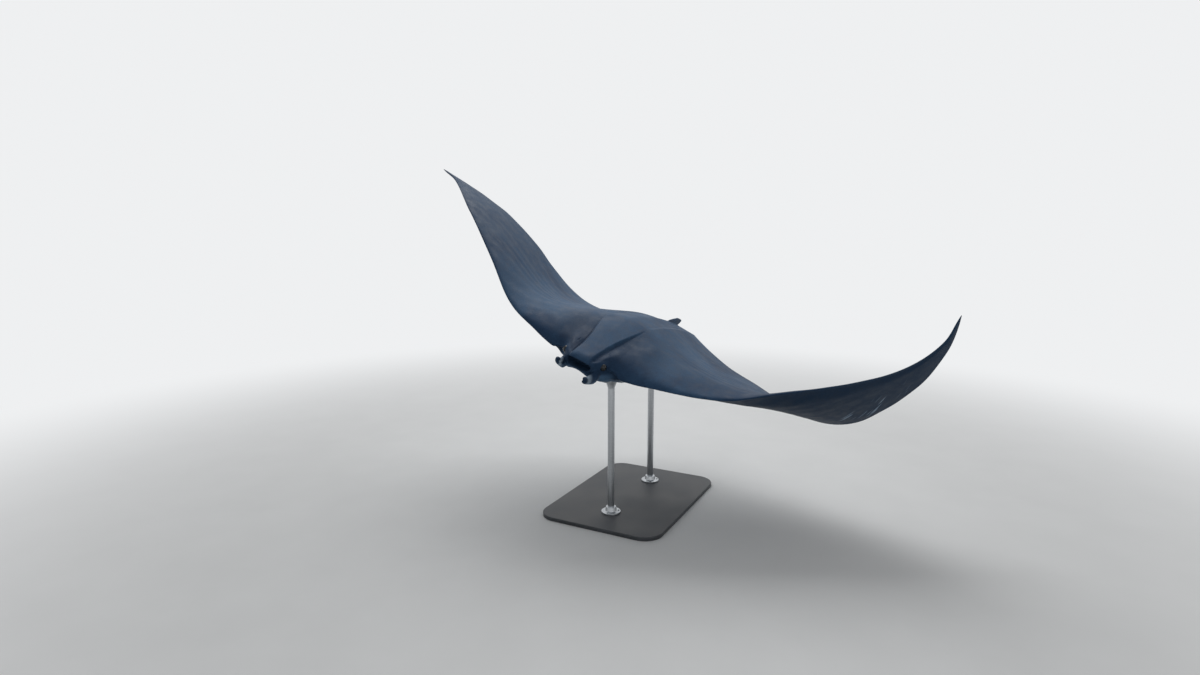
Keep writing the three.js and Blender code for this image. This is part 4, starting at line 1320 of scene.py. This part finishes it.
# %% Details, grain and gloss of the skin
def finish_skin(add, marks, above_coats, below_coats):
    """The two sides joined, the small dark and pale places, and the shader."""
    # Above meets below at the front edge, where the dark back wraps over a little.
    border = add("Math", {0: marks["waver"], 1: 0.2, 2: marks["under"]}, operation="MULTIPLY_ADD")
    colour = coat(add, above_coats, below_coats, 1, (border, 0.55, 0.85))

    # Gill slits and spiracles are darkened inside with painted shade.
    slit = add("Math", {0: marks["slit"], 1: 0.8}, operation="MULTIPLY")
    colour = coat(add, colour, SPOT_AND_SLIT_SHADE_DARK, slit)

    # Cephalic fins: pale in the groove and along the shaft, dark at the round end.
    groove = add("MapRange", {"Value": marks["groove"], "From Min": 0.05, "From Max": 0.75,
                              "To Min": 0.55, "To Max": 1.0}, interpolation_type="SMOOTHSTEP")
    colour = coat(add, colour, LOBE_PALE, groove, (marks["along"], 0.42, 0.66),
                  (marks["along"], 0.90, 0.74))
    colour = coat(add, colour, WING_DARK, 0.85, (marks["along"], 0.78, 0.92))
    colour = coat(add, colour, MOUTH_DARK, 0.9, (marks["mouth"], 0.1, 0.9))

    # Fine grain over everything, so that no zone is flat.
    fine = add("Math", {0: marks["speck"], 1: marks["mottle"]}, operation="ADD")
    grain = add("MapRange", {"Value": fine, "From Min": 0.60, "From Max": 1.40,
                             "To Min": 0.84, "To Max": 1.16}, interpolation_type="SMOOTHSTEP")
    colour = add("VectorMath", {0: colour, 1: grain}, operation="MULTIPLY")
    gloss = add("MapRange", {"Value": marks["mottle"], "From Min": 0.30, "From Max": 0.70,
                             "To Min": SKIN_ROUGHNESS - 0.07, "To Max": SKIN_ROUGHNESS + 0.09},
                interpolation_type="SMOOTHSTEP")

    # Scales are under half a millimetre, too fine to show, so they are drawn 4 mm apart.
    scales = add("TexVoronoi", {"Vector": marks["place"], "Scale": per_metre(SCALE_MM)})
    height = add("Math", {0: marks["wrinkle"], 1: 0.9}, operation="MULTIPLY")
    height = add("Math", {0: scales.outputs["Distance"], 1: 0.35, 2: height},
                 operation="MULTIPLY_ADD")
    bump = add("Bump", {"Height": height, "Strength": 0.30, "Distance": 0.0014})
    # The blue tint of the highlights is a painted reflection of blue water.
    shader = add("BsdfPrincipled", {"Base Color": colour, "Roughness": gloss, "Normal": bump,
                                    "IOR": SKIN_IOR, "Specular IOR Level": 0.30,
                                    "Specular Tint": BLUE_WATER_SHEEN,
                                    "Coat Weight": 0.03, "Coat Roughness": 0.35})
    add("OutputMaterial", {"Surface": shader})


finish_skin(add, marks, above_coats, below_coats)
skin.data.materials.clear()
skin.data.materials.append(skin_finish)
print("skin nodes:", len(skin_finish.node_tree.nodes))

# %% [markdown]
# ## Eye finish
# The eyeball of a model is cast clear resin over a painted disc. Here one glossy surface does
# the same: black in the pupil, a smoky grey iris with fine flecks, and a dark rim. Cast resin
# is very smooth, so its roughness is low and it shows the lamps as small bright points.

# %% Eye material
PUPIL_BLACK = linear("#050607")
IRIS_SMOKE, IRIS_PALE = linear("#16181c"), linear("#2a2c30")
EYE_RIM = linear("#0d1014")
PUPIL_EDGE, IRIS_EDGE = 0.34, 0.62     # radians from the eye's own axis
FLECK_MM = 0.8


def eye_material():
    material, add = new_finish("resin_eye")
    gaze = add("Attribute", attribute_name="gaze").outputs["Fac"]
    place = add("TexCoord").outputs["Object"]
    fleck = add("TexNoise", {"Vector": place, "Scale": per_metre(FLECK_MM), "Detail": 3.0})
    iris = coat(add, IRIS_SMOKE, IRIS_PALE, 1, (fleck, 0.40, 0.66))
    colour = coat(add, PUPIL_BLACK, iris, 1, (gaze, PUPIL_EDGE, PUPIL_EDGE + 0.05))
    colour = coat(add, colour, EYE_RIM, 1, (gaze, IRIS_EDGE - 0.06, IRIS_EDGE + 0.06))
    shader = add("BsdfPrincipled", {"Base Color": colour, "Roughness": 0.08, "IOR": 1.38})
    add("OutputMaterial", {"Surface": shader})
    return material


eye_finish = eye_material()
for name in ("left", "right"):
    bpy.data.objects[f"eyeball_{name}"].data.materials.append(eye_finish)
print("eye nodes:", len(eye_finish.node_tree.nodes))

# %% [markdown]
# ## Stand finishes
# The plate is steel with a baked powder coat, which dries with a faint orange-peel texture and
# looks dull and even. The rods and collars are stainless steel left as turned, so fine rings
# round the axis draw out each reflection. The belly pads are soft black rubber with a dull
# grain, and the screws are zinc-plated, with cloudy patches of gloss.

# %% Powder coat
PEEL_MM, DUST_MM = 5, 260


def powder_coat():
    material, add = new_finish("powder_coated_steel")
    place = add("TexCoord").outputs["Object"]
    peel = add("TexNoise", {"Vector": place, "Scale": per_metre(PEEL_MM), "Detail": 2.0})
    dust = add("TexNoise", {"Vector": place, "Scale": per_metre(DUST_MM), "Detail": 5.0})
    colour = coat(add, linear("#2d3034"), linear("#3a3e43"), 1, (dust, 0.35, 0.70))
    bump = add("Bump", {"Height": peel, "Strength": 0.25, "Distance": 0.0006})
    gloss = add("MapRange", {"Value": dust, "From Min": 0.30, "From Max": 0.75,
                             "To Min": 0.42, "To Max": 0.56}, interpolation_type="SMOOTHSTEP")
    shader = add("BsdfPrincipled", {"Base Color": colour, "Roughness": gloss, "Normal": bump})
    add("OutputMaterial", {"Surface": shader})
    return material


base.data.materials.append(powder_coat())
print("base plate:", base.data.materials[0].name)

# %% Turned steel
TURNING_MM, STREAK_MM, HAZE_MM = 1.6, 100 / 3, 90


def turned_steel():
    """Noise squashed flat along the axis, so that it runs in fine rings round a turned part."""
    material, add = new_finish("turned_stainless_steel")
    place = add("TexCoord").outputs["Object"]
    squash = (per_metre(STREAK_MM), per_metre(STREAK_MM), per_metre(TURNING_MM))
    squashed = add("VectorMath", {0: place, 1: squash}, operation="MULTIPLY")
    rings = add("TexNoise", {"Vector": squashed, "Scale": 1.0, "Detail": 3.0})
    haze = add("TexNoise", {"Vector": place, "Scale": per_metre(HAZE_MM), "Detail": 3.0})
    colour = coat(add, linear("#adb1b5"), linear("#bdc0c3"), 1, (rings, 0.30, 0.70))
    bump = add("Bump", {"Height": rings, "Strength": 0.06, "Distance": 0.0003})
    uneven = add("Math", {0: haze, 1: 0.4}, operation="MULTIPLY")
    uneven = add("Math", {0: rings, 1: 0.6, 2: uneven}, operation="MULTIPLY_ADD")
    gloss = add("MapRange", {"Value": uneven, "From Min": 0.30, "From Max": 0.70,
                             "To Min": 0.27, "To Max": 0.36}, interpolation_type="SMOOTHSTEP")
    shader = add("BsdfPrincipled", {"Base Color": colour, "Roughness": gloss, "Normal": bump,
                                    "Metallic": 1.0})
    add("OutputMaterial", {"Surface": shader})
    return material


steel = turned_steel()
print("rods and collars:", steel.name)

# %% Rubber and zinc
RUBBER_MM, ZINC_MM = 3, 4


def black_rubber():
    material, add = new_finish("black_rubber")
    place = add("TexCoord").outputs["Object"]
    grain = add("TexNoise", {"Vector": place, "Scale": per_metre(RUBBER_MM)})
    colour = coat(add, linear("#131415"), linear("#212325"), grain)
    bump = add("Bump", {"Height": grain, "Strength": 0.3, "Distance": 0.0005})
    shader = add("BsdfPrincipled", {"Base Color": colour, "Roughness": 0.78, "Normal": bump})
    add("OutputMaterial", {"Surface": shader})
    return material


def zinc_plate():
    material, add = new_finish("zinc_plated_screw")
    place = add("TexCoord").outputs["Object"]
    cloud = add("TexNoise", {"Vector": place, "Scale": per_metre(ZINC_MM), "Detail": 3.0})
    colour = coat(add, linear("#8c9194"), linear("#b4b8ba"), cloud)
    gloss = add("MapRange", {"Value": cloud, "From Min": 0.30, "From Max": 0.70,
                             "To Min": 0.28, "To Max": 0.44}, interpolation_type="SMOOTHSTEP")
    shader = add("BsdfPrincipled", {"Base Color": colour, "Roughness": gloss, "Metallic": 1.0})
    add("OutputMaterial", {"Surface": shader})
    return material


rubber, zinc = black_rubber(), zinc_plate()
for rod, pad, collar in stand.values():
    for piece, finish in ((rod, steel), (pad, rubber), (collar, steel)):
        piece.data.materials.clear()
        piece.data.materials.append(finish)
for screw in screws:
    screw.data.materials.append(zinc)
print("finishes:", [material.name for material in bpy.data.materials])

# %% [markdown]
# ## Floor, light and camera settings
# The setting is a plain studio: a wide pale floor that fades into a pale surround with no
# horizon. A real studio hangs a curved paper roll for that. Here the floor turns into the
# colour of the surround with distance instead, and only for rays that see it, so it still
# takes the model's shadow. A large soft lamp high behind the animal lights its back and leaves
# the flank toward the camera in shade, and a weak one in front keeps the shade readable.

# %% Floor
FLOOR_HALF = 60.0
FADE_START, FADE_END = 2.2, 6.5
FLOOR_CLOUD_MM = 350
SURROUND = (0.86, 0.87, 0.88, 1.0)


def seen_directly(add):
    """1 for the rays that show a thing: from the camera, off gloss, or through glass."""
    path = add("LightPath")
    seen = path.outputs["Is Camera Ray"]
    for kind in ("Is Glossy Ray", "Is Transmission Ray"):
        seen = add("Math", {0: seen, 1: path.outputs[kind]}, operation="MAXIMUM")
    return seen


def floor_material():
    material, add = new_finish("pale_studio_floor")
    place = add("TexCoord").outputs["Object"]
    cloud = add("TexNoise", {"Vector": place, "Scale": per_metre(FLOOR_CLOUD_MM), "Detail": 4.0})
    colour = coat(add, linear("#dcdddd"), linear("#e4e5e5"), cloud)
    shader = add("BsdfPrincipled", {"Base Color": colour, "Roughness": 0.75})
    glow = add("Emission", {"Color": SURROUND, "Strength": 1.0})
    away = add("VectorMath", {0: place}, operation="LENGTH").outputs["Value"]
    fade = add("MapRange", {"Value": away, "From Min": FADE_START, "From Max": FADE_END,
                            "To Max": seen_directly(add)}, interpolation_type="SMOOTHSTEP")
    add("OutputMaterial", {"Surface": add("MixShader", {0: fade, 1: shader, 2: glow})})
    return material


floor_mesh = bpy.data.meshes.new("floor")
corners = [(-1, -1, 0), (1, -1, 0), (1, 1, 0), (-1, 1, 0)]
floor_mesh.from_pydata([tuple(FLOOR_HALF * c for c in corner) for corner in corners], [],
                       [(0, 1, 2, 3)])
floor_mesh.materials.append(floor_material())
floor = bpy.data.objects.new("floor", floor_mesh)
bpy.context.scene.collection.objects.link(floor)
floor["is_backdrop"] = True
print("floor:", 2 * FLOOR_HALF, "m across")

# %% World and lamps
WORLD_LIGHT = 0.42
LAMPS = {
    "key": {"place": (-0.9, 1.9, 5.2), "size": 4.0, "watts": 150},
    "fill": {"place": (3.6, -4.2, 2.6), "size": 3.0, "watts": 18},
}
AIM = Vector((0.1, 0.1, 1.1))

world = bpy.data.worlds.new("surround")
bpy.context.scene.world = world
world.use_nodes = True
world.node_tree.nodes.clear()
add = partial(add_node, world.node_tree)
light = add("Background", {"Color": SURROUND, "Strength": WORLD_LIGHT})
shown = add("Background", {"Color": SURROUND, "Strength": 1.0})
add("OutputWorld", {"Surface": add("MixShader", {0: seen_directly(add), 1: light, 2: shown})})

for name, lamp in LAMPS.items():
    data = bpy.data.lights.new(name, "AREA")
    data.energy, data.size = lamp["watts"], lamp["size"]
    lamp_object = bpy.data.objects.new(name, data)
    lamp_object.location = lamp["place"]
    toward = AIM - Vector(lamp["place"])
    lamp_object.rotation_euler = toward.to_track_quat("-Z", "Y").to_euler()
    bpy.context.scene.collection.objects.link(lamp_object)
bpy.context.scene.view_settings.view_transform = "Standard"
print("lamps:", list(LAMPS))

# %% Size of the finished scene
low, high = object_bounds()
print("visual box:", np.round(low, 4).tolist(), np.round(high, 4).tolist())
